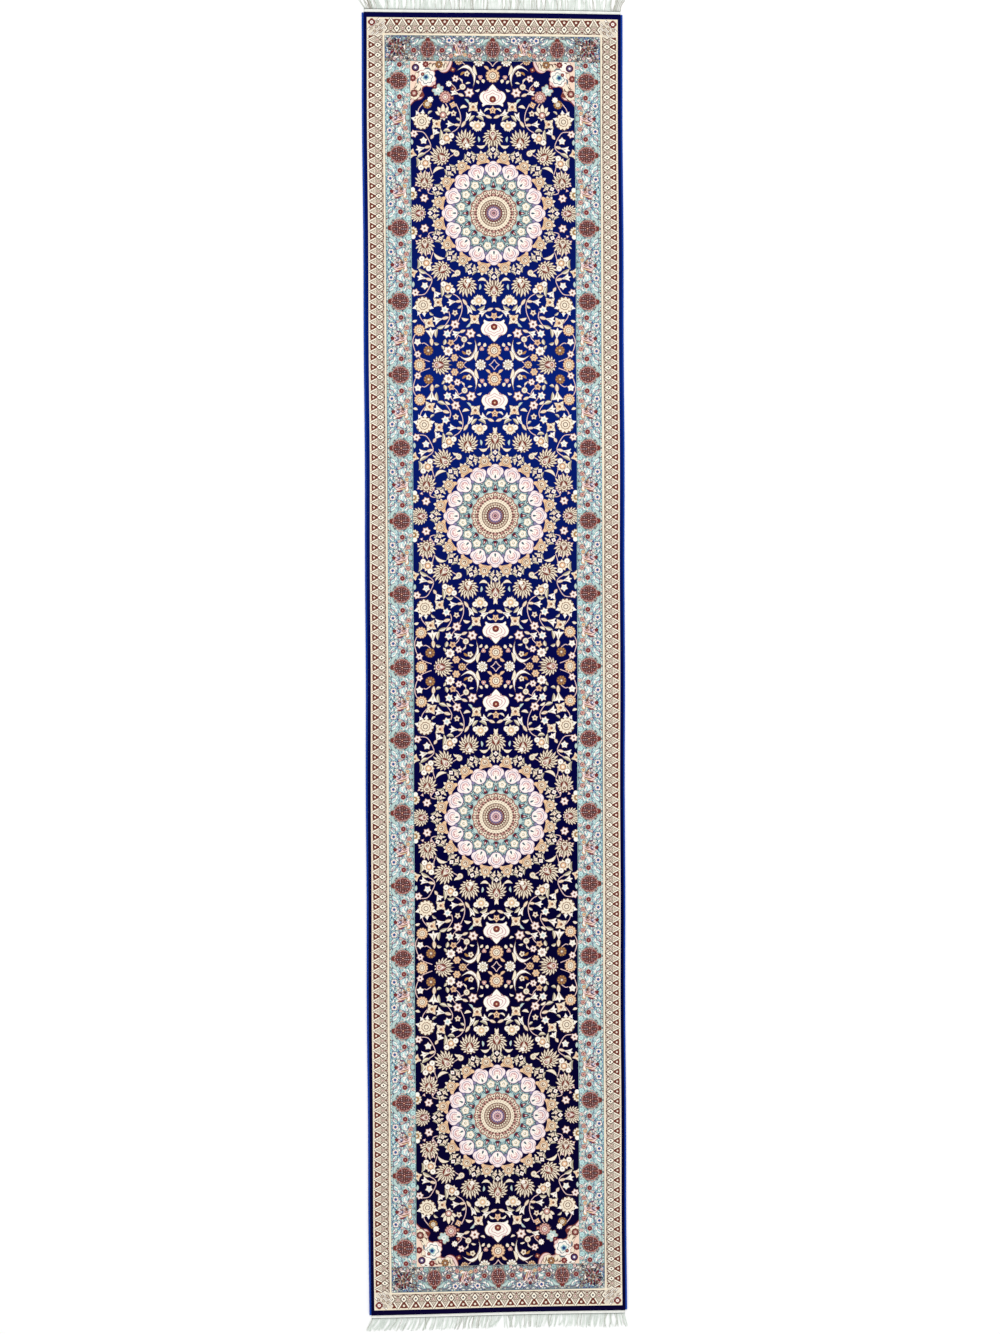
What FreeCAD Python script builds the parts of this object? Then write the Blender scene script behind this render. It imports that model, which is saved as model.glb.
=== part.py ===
"""Woven runner rug, lying flat: ground weave, cut pile in four zones, overcast side selvedges,
flat-woven ends, a twined lock stitch along each end and a warp fringe beyond it.

Millimetres. X is across the rug, Y along it, +Y is the head end, and Z is up. The origin is
on the underside, at the middle of the rug.
"""

import FreeCAD, Part
import os

os.makedirs("parts", exist_ok=True)

# Driving dimensions
WIDTH = 800.0  # over both selvedges
PILE_LENGTH = 4000.0
PILE_TOP = 9.0  # total thickness where there is pile
GROUND_THICKNESS = 2.0

SELVEDGE_WIDTH = 7.0
SELVEDGE_HEIGHT = 6.0
CORE_DIAMETER = 3.2

EDGE_BAND = 9.0  # plain navy pile beside each selvedge
END_BAND = 16.0  # the same plain pile at each end, which has no selvedge
GUARD_BORDER = 55.0
MAIN_BORDER = 77.0

KILIM_LENGTH = 11.0  # flat-woven web past the pile
KILIM_THICKNESS = 1.8
STITCH_DIAMETER = 1.6
FRINGE_LENGTH = 44.0
FRINGE_THICKNESS = 2.4
TASSEL_PITCH = 12.0  # the fringe parts into tassels about this far apart
TASSEL_ROOT = 12.0  # undivided length next to the stitch
TASSEL_GAP = 3.0  # widest gap between two tassel ends

PILE_WIDTH = WIDTH - 2 * SELVEDGE_WIDTH
HALF_WIDTH = PILE_WIDTH / 2
HALF_LENGTH = PILE_LENGTH / 2


def box(x_low, x_high, y_low, y_high, z_low, z_high):
    """A closed box between two corners."""
    corner = FreeCAD.Vector(x_low, y_low, z_low)
    return Part.makeBox(x_high - x_low, y_high - y_low, z_high - z_low, corner)


def prism(outline, z_low, z_high):
    """A flat outline of (x, y) points, raised from z_low to z_high."""
    points = [FreeCAD.Vector(x, y, z_low) for x, y in outline]
    face = Part.Face(Part.makePolygon(points + points[:1]))
    return face.extrude(FreeCAD.Vector(0, 0, z_high - z_low))


def write(name, *solids):
    """One STEP file for a node, from one solid or a group of separate ones."""
    shape = solids[0] if len(solids) == 1 else Part.makeCompound(list(solids))
    shape.exportStep(f"parts/{name}.step")
    volume = sum(solid.Volume for solid in solids)
    print(f"{name}: {len(solids)} solid(s), {volume / 1000:.1f} cm3")


def pile_ring(outer, inner):
    """Four mitred strips of pile between two rectangles, each given by (half width, half length)."""
    (xo, yo), (xi, yi) = outer, inner
    strips = []
    for side in (-1, 1):
        long_strip = [(side * xo, -yo), (side * xo, yo), (side * xi, yi), (side * xi, -yi)]
        end_strip = [(-xo, side * yo), (xo, side * yo), (xi, side * yi), (-xi, side * yi)]
        strips += [long_strip, end_strip]
    return [prism(strip, GROUND_THICKNESS, PILE_TOP) for strip in strips]


# The pile zones, from the outer edge of the pile to the field
edge_outer = (HALF_WIDTH, HALF_LENGTH)
guard_outer = (HALF_WIDTH - EDGE_BAND, HALF_LENGTH - END_BAND)
main_outer = (guard_outer[0] - GUARD_BORDER, guard_outer[1] - GUARD_BORDER)
field_outer = (main_outer[0] - MAIN_BORDER, main_outer[1] - MAIN_BORDER)

write("ground_weave", box(-HALF_WIDTH, HALF_WIDTH, -HALF_LENGTH, HALF_LENGTH, 0, GROUND_THICKNESS))
write("edge_band_pile", *pile_ring(edge_outer, guard_outer))
write("guard_border_pile", *pile_ring(guard_outer, main_outer))
write("main_border_pile", *pile_ring(main_outer, field_outer))
field_x, field_y = field_outer
write("field_pile", box(-field_x, field_x, -field_y, field_y, GROUND_THICKNESS, PILE_TOP))


def selvedge_section(x_inner, side):
    """The overcast sleeve's outline in XZ: flat against the rug, rounded outside."""
    bend = SELVEDGE_HEIGHT / 2
    x_round = x_inner + side * (SELVEDGE_WIDTH - bend)
    bottom_in = FreeCAD.Vector(x_inner, -HALF_LENGTH, 0)
    bottom_out = FreeCAD.Vector(x_round, -HALF_LENGTH, 0)
    far = FreeCAD.Vector(x_round + side * bend, -HALF_LENGTH, bend)
    top_out = FreeCAD.Vector(x_round, -HALF_LENGTH, SELVEDGE_HEIGHT)
    top_in = FreeCAD.Vector(x_inner, -HALF_LENGTH, SELVEDGE_HEIGHT)
    edges = [
        Part.LineSegment(bottom_in, bottom_out).toShape(),
        Part.Arc(bottom_out, far, top_out).toShape(),
        Part.LineSegment(top_out, top_in).toShape(),
        Part.LineSegment(top_in, bottom_in).toShape(),
    ]
    return Part.Face(Part.Wire(edges)), x_round


along = FreeCAD.Vector(0, 2 * HALF_LENGTH, 0)
for side_name, side in (("left", -1), ("right", 1)):
    section, x_round = selvedge_section(side * HALF_WIDTH, side)
    core_start = FreeCAD.Vector(x_round, -HALF_LENGTH, SELVEDGE_HEIGHT / 2)
    core = Part.makeCylinder(CORE_DIAMETER / 2, PILE_LENGTH, core_start, FreeCAD.Vector(0, 1, 0))
    write(f"{side_name}_selvedge_core", core)
    write(f"{side_name}_selvedge_overcast", section.extrude(along).cut(core))


def fringe_outline(y_root, end):
    """The fringe from above: one skirt at the stitch that parts into tapering tassels."""
    y_split = y_root + end * TASSEL_ROOT
    y_tip = y_root + end * FRINGE_LENGTH
    tassels = round(PILE_WIDTH / TASSEL_PITCH)
    pitch = PILE_WIDTH / tassels
    outline = [(HALF_WIDTH, y_root), (-HALF_WIDTH, y_root)]
    for i in range(tassels):
        x_left = -HALF_WIDTH + i * pitch
        if i:
            outline.append((x_left, y_split))
        outline.append((x_left + (TASSEL_GAP / 2 if i else 0), y_tip))
        is_last = i == tassels - 1
        outline.append((x_left + pitch - (0 if is_last else TASSEL_GAP / 2), y_tip))
    return outline


for end_name, end in (("head", 1), ("foot", -1)):
    y_pile = end * HALF_LENGTH
    y_kilim = y_pile + end * KILIM_LENGTH
    y_stitch = y_kilim + end * STITCH_DIAMETER
    low, high = sorted((y_pile, y_kilim))
    write(f"{end_name}_kilim_web", box(-HALF_WIDTH, HALF_WIDTH, low, high, 0, KILIM_THICKNESS))
    stitch_start = FreeCAD.Vector(-HALF_WIDTH, (y_kilim + y_stitch) / 2, STITCH_DIAMETER / 2)
    stitch = Part.makeCylinder(STITCH_DIAMETER / 2, PILE_WIDTH, stitch_start, FreeCAD.Vector(1, 0, 0))
    write(f"{end_name}_lock_stitch", stitch)
    write(f"{end_name}_fringe", prism(fringe_outline(y_stitch, end), 0, FRINGE_THICKNESS))

total = 2 * (HALF_LENGTH + KILIM_LENGTH + STITCH_DIAMETER + FRINGE_LENGTH)
print(f"overall {WIDTH:.0f} x {total:.1f} x {PILE_TOP:.1f} mm")
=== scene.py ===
"""Looks of the runner rug: pile yarn by yarn, ground weave, selvedges, flat-woven ends and fringe.

The pattern is drawn in millimetres as closed outlines in yarn colours, each covering what lies
below it. planar_map turns them into one surface whose faces carry the yarn that is on top.
"""

import bmesh
import bpy
import random
from math import atan2, cos, hypot, pi, radians, sin, tau
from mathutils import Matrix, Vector
from mathutils.geometry import delaunay_2d_cdt


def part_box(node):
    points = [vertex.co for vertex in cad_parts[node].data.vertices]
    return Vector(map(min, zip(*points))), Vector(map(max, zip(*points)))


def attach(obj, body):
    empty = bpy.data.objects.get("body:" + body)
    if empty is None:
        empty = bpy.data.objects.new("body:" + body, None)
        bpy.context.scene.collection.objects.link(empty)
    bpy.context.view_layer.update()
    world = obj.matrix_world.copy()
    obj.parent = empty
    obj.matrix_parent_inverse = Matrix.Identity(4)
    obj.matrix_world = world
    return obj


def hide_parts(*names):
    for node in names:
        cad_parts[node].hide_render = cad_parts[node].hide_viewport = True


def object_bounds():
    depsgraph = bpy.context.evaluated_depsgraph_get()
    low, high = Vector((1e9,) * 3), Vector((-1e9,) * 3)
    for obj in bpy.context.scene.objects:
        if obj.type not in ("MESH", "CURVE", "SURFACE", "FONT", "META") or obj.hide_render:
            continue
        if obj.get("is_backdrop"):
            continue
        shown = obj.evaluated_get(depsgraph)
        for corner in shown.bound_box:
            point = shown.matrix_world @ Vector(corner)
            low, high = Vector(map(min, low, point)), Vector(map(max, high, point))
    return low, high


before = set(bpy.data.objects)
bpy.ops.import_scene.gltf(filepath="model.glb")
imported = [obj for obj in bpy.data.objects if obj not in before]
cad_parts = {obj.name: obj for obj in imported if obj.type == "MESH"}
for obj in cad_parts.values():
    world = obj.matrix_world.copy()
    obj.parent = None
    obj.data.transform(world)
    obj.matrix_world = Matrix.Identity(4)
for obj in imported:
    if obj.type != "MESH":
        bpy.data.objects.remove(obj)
CAD_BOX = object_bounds()
MM = 0.001

# ---- sizes, in millimetres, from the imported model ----


def half_size(node):
    """Half the width and half the length of a node that is centred on the rug."""
    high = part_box(node)[1]
    return high[0] / MM, high[1] / MM


FIELD_HALF = half_size("field_pile")
MAIN_HALF = half_size("main_border_pile")
GUARD_HALF = half_size("guard_border_pile")
EDGE_HALF = half_size("edge_band_pile")
PILE_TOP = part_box("field_pile")[1][2] / MM
GROUND_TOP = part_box("ground_weave")[1][2] / MM
GUARD = GUARD_HALF[0] - MAIN_HALF[0]
MAIN = MAIN_HALF[0] - FIELD_HALF[0]

UNITS = 4  # medallions along the field
HALF_U = FIELD_HALF[0]
HALF_V = FIELD_HALF[1] / UNITS
SIDE_REPEAT = 224.0  # main border, along the sides
END_REPEAT = 198.0  # main border, along the ends
GUARD_SIDE_REPEAT = 30.65
GUARD_END_REPEAT = 36.6
GRID = 40.0  # spacing of the extra points that let a surface follow the rug's waves
CLOTH_STEP = 20.0  # the same for the ground cloth
MERGE = 0.004  # outline points this close become one
WELD_CELLS = 50  # per mm: corners of mirrored quadrants in one cell of this grid become one

# Yarn colours, as they look in the finished rug
YARNS = {
    "navy": "03022a", "cream": "e8dbc4", "white": "f3ebe1", "pink": "e2c3be", "blush": "c4948a",
    "peach": "dfba95", "tan": "8f705c", "rust": "743630", "gold": "a87d4a", "olive": "a39e88",
    "mint": "b3c8c2", "sky": "9bbdb9", "aqua": "bddcdb", "steel": "6b93a3", "slate": "5d6d76",
    "blue": "2d5288", "violet": "5e4c74", "maroon": "66222c", "ink": "1c1932", "beige": "d8cebd",
    "royal": "14338f", "brown": "573b33", "rose": "c99c9c", "shell": "e9cdb9", "fog": "848e8c",
    "lilac": "857c9c", "umber": "66352b", "ivory": "f3ead8", "petal": "eedfdd",
}

# ---- outlines, in millimetres ----


def polar(centre, radius, steps, turn=0.0):
    """A closed outline whose radius is a function of the angle from turn."""
    cx, cy = centre
    angles = [tau * i / steps for i in range(steps)]
    return [(cx + radius(a) * cos(a + turn), cy + radius(a) * sin(a + turn)) for a in angles]


def disc(centre, r, steps=16):
    return polar(centre, lambda a: r, steps)


def lobed(centre, r, petals, depth=0.25, turn=0.0):
    """Round petals: the edge dips by depth between them."""
    return polar(centre, lambda a: r * (1 - depth * (1 - abs(cos(petals * a / 2)))), petals * 6, turn)


def star(centre, r, points, waist=0.55, turn=0.0):
    """Pointed petals: waist is the radius of the notches over that of the tips."""
    return polar(centre, lambda a: r * (1 if round(a * points / pi) % 2 == 0 else waist), points * 2, turn)


def drop(centre, length, width, turn, steps=18):
    """A teardrop whose point lies towards turn."""
    cx, cy = centre
    ct, st = cos(turn), sin(turn)
    outline = []
    for i in range(steps):
        a = tau * i / steps
        x = cos(a) * length / 2
        y = sin(a) * (1 - cos(a)) / 2 * width * 0.77
        outline.append((cx + x * ct - y * st, cy + x * st + y * ct))
    return outline


def over(centre, *layers):
    """Outlines round one centre, lowest first: each a yarn, a shape, and what that shape is given."""
    return [(yarn, shape(centre, *rest)) for yarn, shape, *rest in layers]


def leaf(a, b, width, bend=0.0, steps=7):
    """A pointed leaf from a to b; bend moves its middle to the left of a-b, in leaf lengths."""
    (ax, ay), (bx, by) = a, b
    dx, dy = bx - ax, by - ay
    length = hypot(dx, dy)
    nx, ny = -dy / length, dx / length
    left, right = [], []
    for i in range(steps + 1):
        s = i / steps
        lift = 4 * s * (1 - s) * bend * length
        half = width / 2 * sin(pi * s) ** 0.8 if 0 < i < steps else 0.0
        x, y = ax + dx * s, ay + dy * s
        left.append((x + nx * (lift + half), y + ny * (lift + half)))
        if half:
            right.append((x + nx * (lift - half), y + ny * (lift - half)))
    return left + right[::-1]


def smooth(points, steps=5):
    """A Catmull-Rom line through the points."""
    ends = [points[0]] + list(points) + [points[-1]]
    line = []
    for p0, p1, p2, p3 in zip(ends, ends[1:], ends[2:], ends[3:]):
        for i in range(steps):
            t = i / steps
            line.append(tuple(
                0.5 * (
                    2 * b + (c - a) * t + (
                        2 * a - 5 * b + 4 * c - d
                    ) * t * t + (3 * b - a - 3 * c + d) * t**3
                )
                for a, b, c, d in zip(p0, p1, p2, p3)
            ))
    return line + [points[-1]]


def stripe(line, width):
    """A line given a width, with its last points on its own ends."""
    left, right = [], []
    for i, (x, y) in enumerate(line):
        (ax, ay), (bx, by) = line[max(i - 1, 0)], line[min(i + 1, len(line) - 1)]
        length = hypot(bx - ax, by - ay)
        nx, ny = -(by - ay) / length * width / 2, (bx - ax) / length * width / 2
        left.append((x + nx, y + ny))
        right.append((x - nx, y - ny))
    return left + right[::-1]


def placed(points, origin, turn, size=1.0):
    """Points of a small drawing, turned, scaled and moved to origin."""
    ct, st = cos(turn) * size, sin(turn) * size
    return [(origin[0] + x * ct - y * st, origin[1] + x * st + y * ct) for x, y in points]


def bow(points):
    """A drawing symmetric about its own x axis, from its upper half."""
    return points + [(x, -y) for x, y in reversed(points) if abs(y) > 1e-9]


# ---- motifs: lists of (yarn, outline), each covering what comes before it ----


def vine(points, yarn="pink", width=2.2):
    line = smooth(points, 4)
    return [("brown", stripe(line, width + 0.9)), (yarn, stripe(line, width))]


def blossom(c, r, petals=6, yarn="white", line="blush", eye="olive", turn=0.3, round_petals=False):
    """A small open flower: petals, a ring and an eye."""
    if round_petals:
        rim, shape = lobed(c, r * 1.12, petals, 0.28, turn), lobed(c, r, petals, 0.3, turn)
    else:
        rim, shape = star(c, r * 1.2, petals, 0.64, turn), star(c, r * 1.05, petals, 0.62, turn)
    parts = [("tan", rim), (yarn, shape), (line, star(c, r * 0.56, petals, 0.5, turn))]
    return parts + [(eye, disc(c, r * 0.22, 7))]


def pink_star(c, r, turn=0.2):
    """Six-petalled flower with shaded petals."""
    parts = [("brown", star(c, r * 1.16, 6, 0.72, turn)), ("pink", star(c, r, 6, 0.7, turn))]
    for i in range(6):
        a = turn + tau * i / 6
        petal = (c[0] + 0.56 * r * cos(a), c[1] + 0.56 * r * sin(a))
        parts.append(("white", drop(petal, r * 0.6, r * 0.4, a, 7)))
    return parts + [("tan", disc(c, r * 0.3, 8)), ("rust", disc(c, r * 0.15, 6))]


def bud(c, r, yarn="cream", eye="olive"):
    return over(
        c, ("tan", disc, r * 1.08, 14), (yarn, disc, r * 0.94, 14), (eye, disc, r * 0.46, 10),
        ("cream", disc, r * 0.2, 6),
    )


def square_flower(c, r, turn):
    """Four-cornered flower at the end of a calyx: peach on the calyx's side, pale at the far tips."""
    parts = [
        ("brown", star(c, r * 1.5, 4, 0.55, turn + pi / 4)),
        ("cream", star(c, r * 1.36, 4, 0.54, turn + pi / 4)),
    ]
    parts += [("brown", lobed(c, r * 0.86, 4, 0.3, turn)), ("cream", lobed(c, r * 0.78, 4, 0.3, turn))]
    near_side = bow([(-0.6, 0.0), (-0.8, 0.74), (-0.2, 0.4), (0.2, 0.3), (0.3, 0.0)])
    parts.append(("peach", placed(near_side, c, turn, r)))
    return parts + [("tan", lobed(c, r * 0.34, 4, 0.3, turn)), ("rust", disc(c, r * 0.14, 6))]


def calyx(a, b, width=15.0):
    """A bud at a, opening to a flower of three long petals that reach b."""
    turn, length = atan2(b[1] - a[1], b[0] - a[0]), hypot(b[0] - a[0], b[1] - a[1])
    w = width / length

    def petal(yarn, ends, wide, bend):
        start, tip = placed(ends, a, turn, length)
        return (yarn, leaf(start, tip, wide * width, bend, 5))

    parts = [petal("tan", [(-0.03, 0), (0.5, 0)], 0.62, 0), petal("cream", [(0.0, 0), (0.46, 0)], 0.42, 0)]
    for yarn, grow in (("tan", 0.16), ("white", 0.0)):
        parts += [
            petal(yarn, [(0.42, 0), (0.92, side * 0.74 * w)], 0.46 + grow, -0.22 * side)
            for side in (-1, 1)
        ]
        parts.append(petal(yarn, [(0.4, 0), (1.06, 0)], 0.42 + grow, 0))
    parts.append(petal("olive", [(0.5, 0), (0.84, 0)], 0.16, 0))
    parts.append(petal("peach", [(0.12, 0), (0.36, 0)], 0.16, 0))
    return parts


def spiky(c, r, turn, core="cream", heart="pink", spikes=15):
    """A palmette of two rings of pointed leaves that sweep forwards, round a drop-shaped heart."""
    ground = [(1.02 * px, 0.86 * py) for px, py in lobed((0.02, 0), 0.84, spikes, 0.12)]
    parts = [("rust", placed(ground, c, turn, r))]
    for yarn, inner, outer, wide, half in (
        ("brown", 0.36, 1.18, 0.3, 0), ("cream", 0.38, 1.15, 0.17, 0), ("brown", 0.34, 0.92, 0.26, 0.5),
        ("cream", 0.36, 0.88, 0.13, 0.5),
    ):
        for i in range(spikes):
            a = tau * (i + half) / spikes
            reach, sweep = 0.9 + 0.16 * cos(a), a - 0.16 * sin(a)
            ends = [
                (inner * cos(a) - 0.04, inner * sin(a)),
                (outer * reach * cos(sweep), outer * reach * sin(sweep)),
            ]
            start, tip = placed(ends, c, turn, r)
            parts.append((yarn, leaf(start, tip, wide * r, 0.08 if sin(a) > 0 else -0.08, 4)))
    back = (c[0] - 0.12 * r * cos(turn), c[1] - 0.12 * r * sin(turn))
    parts += over(back, ("brown", drop, r * 1.16, r * 0.74, turn), (core, drop, r * 1.02, r * 0.62, turn))
    parts += over(
        back, ("tan", drop, r * 0.78, r * 0.42, turn, 12), ("white", drop, r * 0.64, r * 0.3, turn, 12),
    )
    root = (c[0] - 0.3 * r * cos(turn), c[1] - 0.3 * r * sin(turn))
    return parts + over(
        root, ("rust", drop, r * 0.44, r * 0.36, turn, 8), (heart, drop, r * 0.26, r * 0.18, turn, 8),
    )


def wheel(c, r, petals=13, rim="cream", ring="tan", core="pink", turn=0.1):
    """A many-petalled round palmette."""
    parts = [("brown", lobed(c, r * 1.03, petals, 0.18, turn))]
    for i in range(petals):
        a = turn + tau * (i + 0.5) / petals
        start, tip = placed([(0.4, 0), (1.0, 0)], c, a, r)
        parts.append((rim, leaf(start, tip, r * 0.4, 0, 4)))
    parts += [(ring, lobed(c, r * 0.6, 9, 0.15, turn)), (core, lobed(c, r * 0.5, 9, 0.15, turn))]
    return parts + [("brown", disc(c, r * 0.3, 10)), ("cream", disc(c, r * 0.22, 8))]


def petalled(c, r, turn, left, right):
    """A cream star flower with a peach ring, and two round white petals beside it."""
    parts = over(
        c, ("brown", star, r * 1.08, 9, 0.74, turn), ("cream", star, r, 9, 0.72, turn),
        ("rust", disc, r * 0.54, 14),
    )
    parts += [("peach", disc(c, r * 0.44, 12)), ("white", disc(c, r * 0.2, 8))]
    for side in (left, right):
        parts += over(
            side, ("tan", disc, r * 0.52, 14), ("white", disc, r * 0.45, 14), ("olive", disc, r * 0.13, 6),
        )
    return parts


# ---- medallion ----

FOLD = tau / 16


def around(r, k):
    """The point at radius r, k sixteenths of a turn round the medallion."""
    return (r * cos(FOLD * k), r * sin(FOLD * k))


def beads(r, count, size, yarn, turn=0.0):
    angles = [turn + tau * i / count for i in range(count)]
    return [(yarn, disc((r * cos(a), r * sin(a)), size, 7)) for a in angles]


def tulip(k):
    """Peach palmette outside the medallion, its tip outwards."""
    c, turn = around(171, k), FOLD * k
    ears = bow([(-16, 10), (-22, 20), (-12, 20), (-3, 14), (-6, 0)])
    parts = [
        ("brown", placed([(x * 1.06, y * 1.06) for x, y in ears], c, turn)),
        ("peach", placed(ears, c, turn)),
    ]
    for a in (-1.5, -0.75, 0, 0.75, 1.5):
        start, tip = placed([(4, 0), (23 - 2 * abs(a), 0)], c, turn + a)
        parts += [("brown", leaf(start, tip, 12, 0, 5)), ("cream", leaf(start, tip, 9.5, 0, 5))]
    parts += over(
        c, ("brown", disc, 14.6, 18), ("peach", disc, 13.4, 18), ("tan", disc, 10, 14),
        ("cream", disc, 8.4, 14),
    )
    cup = bow([(-6, 2), (-2, 6), (4, 5), (5, 2), (0, 2.5), (-2, 0)])
    return parts + [("tan", placed(cup, c, turn))]


def sprig(k):
    """Three small flowers and four leaves, between two tulips."""
    parts = []
    turn = FOLD * k
    for side in (-1, 1):
        root, tip = placed([(166, side * 4), (182, side * 19)], (0, 0), turn)
        parts += leaves([(*root, *tip, 6, -0.18 * side)], "cream")
        root, tip = placed([(184, side * 21), (201, side * 11)], (0, 0), turn)
        parts += leaves([(*root, *tip, 6, -0.2 * side)], "olive")
        flower = placed([(181, side * 8)], (0, 0), turn)[0]
        parts += over(
            flower, ("brown", star, 8.5, 4, 0.66, turn), ("cream", star, 7, 4, 0.62, turn),
            ("blush", disc, 2.2, 6),
        )
    c = around(195, k)
    return parts + over(
        c, ("brown", star, 9.5, 4, 0.66, turn), ("white", star, 8, 4, 0.64, turn), ("blush", disc, 2.6, 7),
    )


def medallion():
    parts = []
    for k in range(4):
        parts += tulip(k + 0.5)
    for k in range(5):
        parts += sprig(k)
    parts.append(("mint", disc((0, 0), 119, 96)))
    for k in range(5):
        for side in (-1, 1):
            for r, out, size, yarn in (
                (109, 6, 7, "slate"), (96, 5, 5, "slate"), (86, 8, 6.5, "steel"), (80, 4, 4, "slate"),
            ):
                blob = placed([(r, side * out)], (0, 0), FOLD * k)[0]
                parts += over(
                    blob, (yarn, lobed, size, 4, 0.25, FOLD * k + r),
                    ("sky", lobed, size * 0.7, 4, 0.25, FOLD * k + r),
                )
    for k in range(5):
        c, turn = around(133, k), FOLD * k
        parts.append(("slate", disc(around(130, k), 23.6, 32)))
        for yarn, grow in (("violet", 1.5), ("petal", 0)):
            for r, out, size in ((143, 0, 15.6), (136, 12.5, 13), (136, -12.5, 13), (129, 0, 18.6)):
                parts.append((yarn, placed(disc((r, out), size + grow, 20), (0, 0), turn)))
        parts.append(("white", lobed(around(126, k), 12, 5, 0.14, turn)))
        parts.append(("pink", drop(around(139, k), 17, 18, turn)))
        parts.append(("white", drop(around(138, k), 11, 11, turn)))
        for side in (-1, 1):
            for points, yarn, width in (
                ([(148, 0), (145, side * 9), (136, side * 15), (125, side * 12)], "violet", 1.5),
                ([(141, 0), (139, side * 7), (132, side * 9), (126, side * 6)], "rose", 2.6),
                ([(152, side * 5), (149, side * 14), (141, side * 19)], "rose", 2.0),
            ):
                parts.append((yarn, stripe(smooth(placed(points, (0, 0), turn), 3), width)))
        parts += [("rose", disc(around(139, k), 3.0, 8)), ("slate", drop(around(122, k), 14, 6, turn))]
        parts.append(("ink", leaf(around(118, k), around(126, k), 2.4, 0, 4)))
    for k in range(5):
        c, turn = around(125, k + 0.5), FOLD * (k + 0.5)
        oval = [(1.3 * px, py) for px, py in disc((0, 0), 3.8, 14)]
        parts += [("lilac", placed(oval, c, turn)), ("slate", drop(around(115, k + 0.5), 9, 6, turn + pi))]
    for k in range(5):
        c, turn = around(101, k + 0.5), FOLD * (k + 0.5)
        parts += over(
            c, ("slate", lobed, 14.2, 5, 0.2, turn), ("cream", lobed, 12.6, 5, 0.22, turn),
            ("white", lobed, 8.4, 5, 0.22, turn),
        )
        parts += [("olive", disc(c, 4.8, 10)), ("cream", disc((c[0] * 0.99, c[1] * 0.99), 3.2, 8))]
        turn = FOLD * k
        parts += over(around(88, k), ("ink", drop, 24, 12, turn), ("maroon", drop, 19, 9, turn))
        parts.append(("pink", drop(around(89, k), 9, 5, turn, 8)))
        parts += over(around(107, k), ("ink", lobed, 4.4, 4, 0.4, turn), ("white", disc, 1.8, 6))
        for side in (-1, 1):
            for start, tip, wide in (
                ((74, side * 3), (93, side * 10), 2.6), ((92, side * 3), (106, side * 7), 2.4),
                ((78, side * 12), (92, side * 14), 2.2),
            ):
                ends = placed([start, tip], (0, 0), turn)
                parts.append(("ink" if wide > 2.3 else "slate", leaf(ends[0], ends[1], wide, 0.1 * side, 4)))
    parts.append(("tan", polar((0, 0), lambda a: 70 + 5 * abs(cos(8 * a)), 128)))
    parts.append(("blush", polar((0, 0), lambda a: 68 + 5 * abs(cos(8 * a)), 128)))
    for k in range(5):
        parts += over(
            around(65, k), ("brown", lobed, 8, 3, 0.35, FOLD * k), ("cream", lobed, 5, 3, 0.35, FOLD * k),
        )
        parts.append(("maroon", disc(around(64, k), 1.8, 6)))
        parts.append(("cream", lobed(around(63, k + 0.5), 7, 3, 0.35, FOLD * (k + 0.5) + pi)))
        parts.append(("brown", disc(around(62.5, k + 0.5), 2.8, 6)))
        parts.append(("rust", disc(around(69, k + 0.5), 2.2, 6)))
    parts += beads(55.5, 36, 2.9, "brown", 0.065)
    parts.append(("brown", disc((0, 0), 53, 64)))
    parts.append(("cream", polar((0, 0), lambda a: 51.5 + 1.2 * cos(36 * a), 144)))
    parts += over((0, 0), ("brown", disc, 41.5, 64), ("tan", disc, 39.6, 64))
    parts += beads(47, 32, 1.4, "tan") + beads(36.5, 30, 2.9, "cream") + beads(36.5, 30, 1.2, "maroon")
    parts += [("brown", disc((0, 0), 32.6, 48))]
    parts += beads(29.4, 26, 2.6, "cream", 0.05)
    parts += over((0, 0), ("maroon", disc, 25.6, 40), ("violet", disc, 23.8, 40))
    parts += beads(22, 20, 2.5, "tan", 0.13)
    parts += over(
        (0, 0), ("lilac", lobed, 18.6, 16, 0.14), ("pink", lobed, 17.0, 16, 0.2),
        ("violet", lobed, 11.6, 12, 0.2),
    )
    parts += over(
        (0, 0), ("rose", lobed, 9.4, 8, 0.2), ("ink", lobed, 4.6, 6, 0.2), ("blush", disc, 1.8, 7),
    )
    return parts


# ---- field quadrant: u across from the medallion's centre, v along ----


def leaves(entries, yarn):
    """Outlined leaves; the shaded ones are pale along one edge."""
    parts = []
    for x0, y0, x1, y1, width, bend in entries:
        a, b = (x0, y0), (x1, y1)
        parts.append(("brown", leaf(a, b, width * 1.3 + 0.8, bend, 5)))
        parts.append((yarn, leaf(a, b, width * 1.1, bend, 5)))
        if yarn == "olive":
            parts.append(("cream", leaf(a, b, width * 0.5, bend * 1.5, 4)))
    return parts


def vines():
    lines = [
        [(186, 118), (192, 136), (193, 150)],
        [(176, 62), (187, 58), (200, 64), (190, 80)],
        [(217, 180), (198, 190), (190, 203), (196, 222), (212, 246), (236, 249)],
        [(126, 246), (110, 256), (99, 276), (100, 304), (113, 334)],
        [(139, 300), (136, 318), (149, 341), (163, 350)],
        [(240, 366), (249, 386), (246, 410), (232, 438), (198, 453)],
        [(230, 300), (226, 318), (212, 336)],
        [(125, 350), (136, 364), (144, 368)],
        [(112, 372), (100, 378), (92, 385)],
        [(112, 374), (116, 384), (128, 395)],
        [(118, 180), (132, 172)],
        [(0, 447), (8, 458), (20, 466)],
        [(82, 450), (92, 458), (104, 463)],
        [(92, 395), (97, 408), (106, 412)],
        [(202, 404), (214, 396), (222, 398)],
        [(228, 432), (236, 424)],
    ]
    parts = []
    for points in lines:
        parts += vine(points)
    return parts


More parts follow.
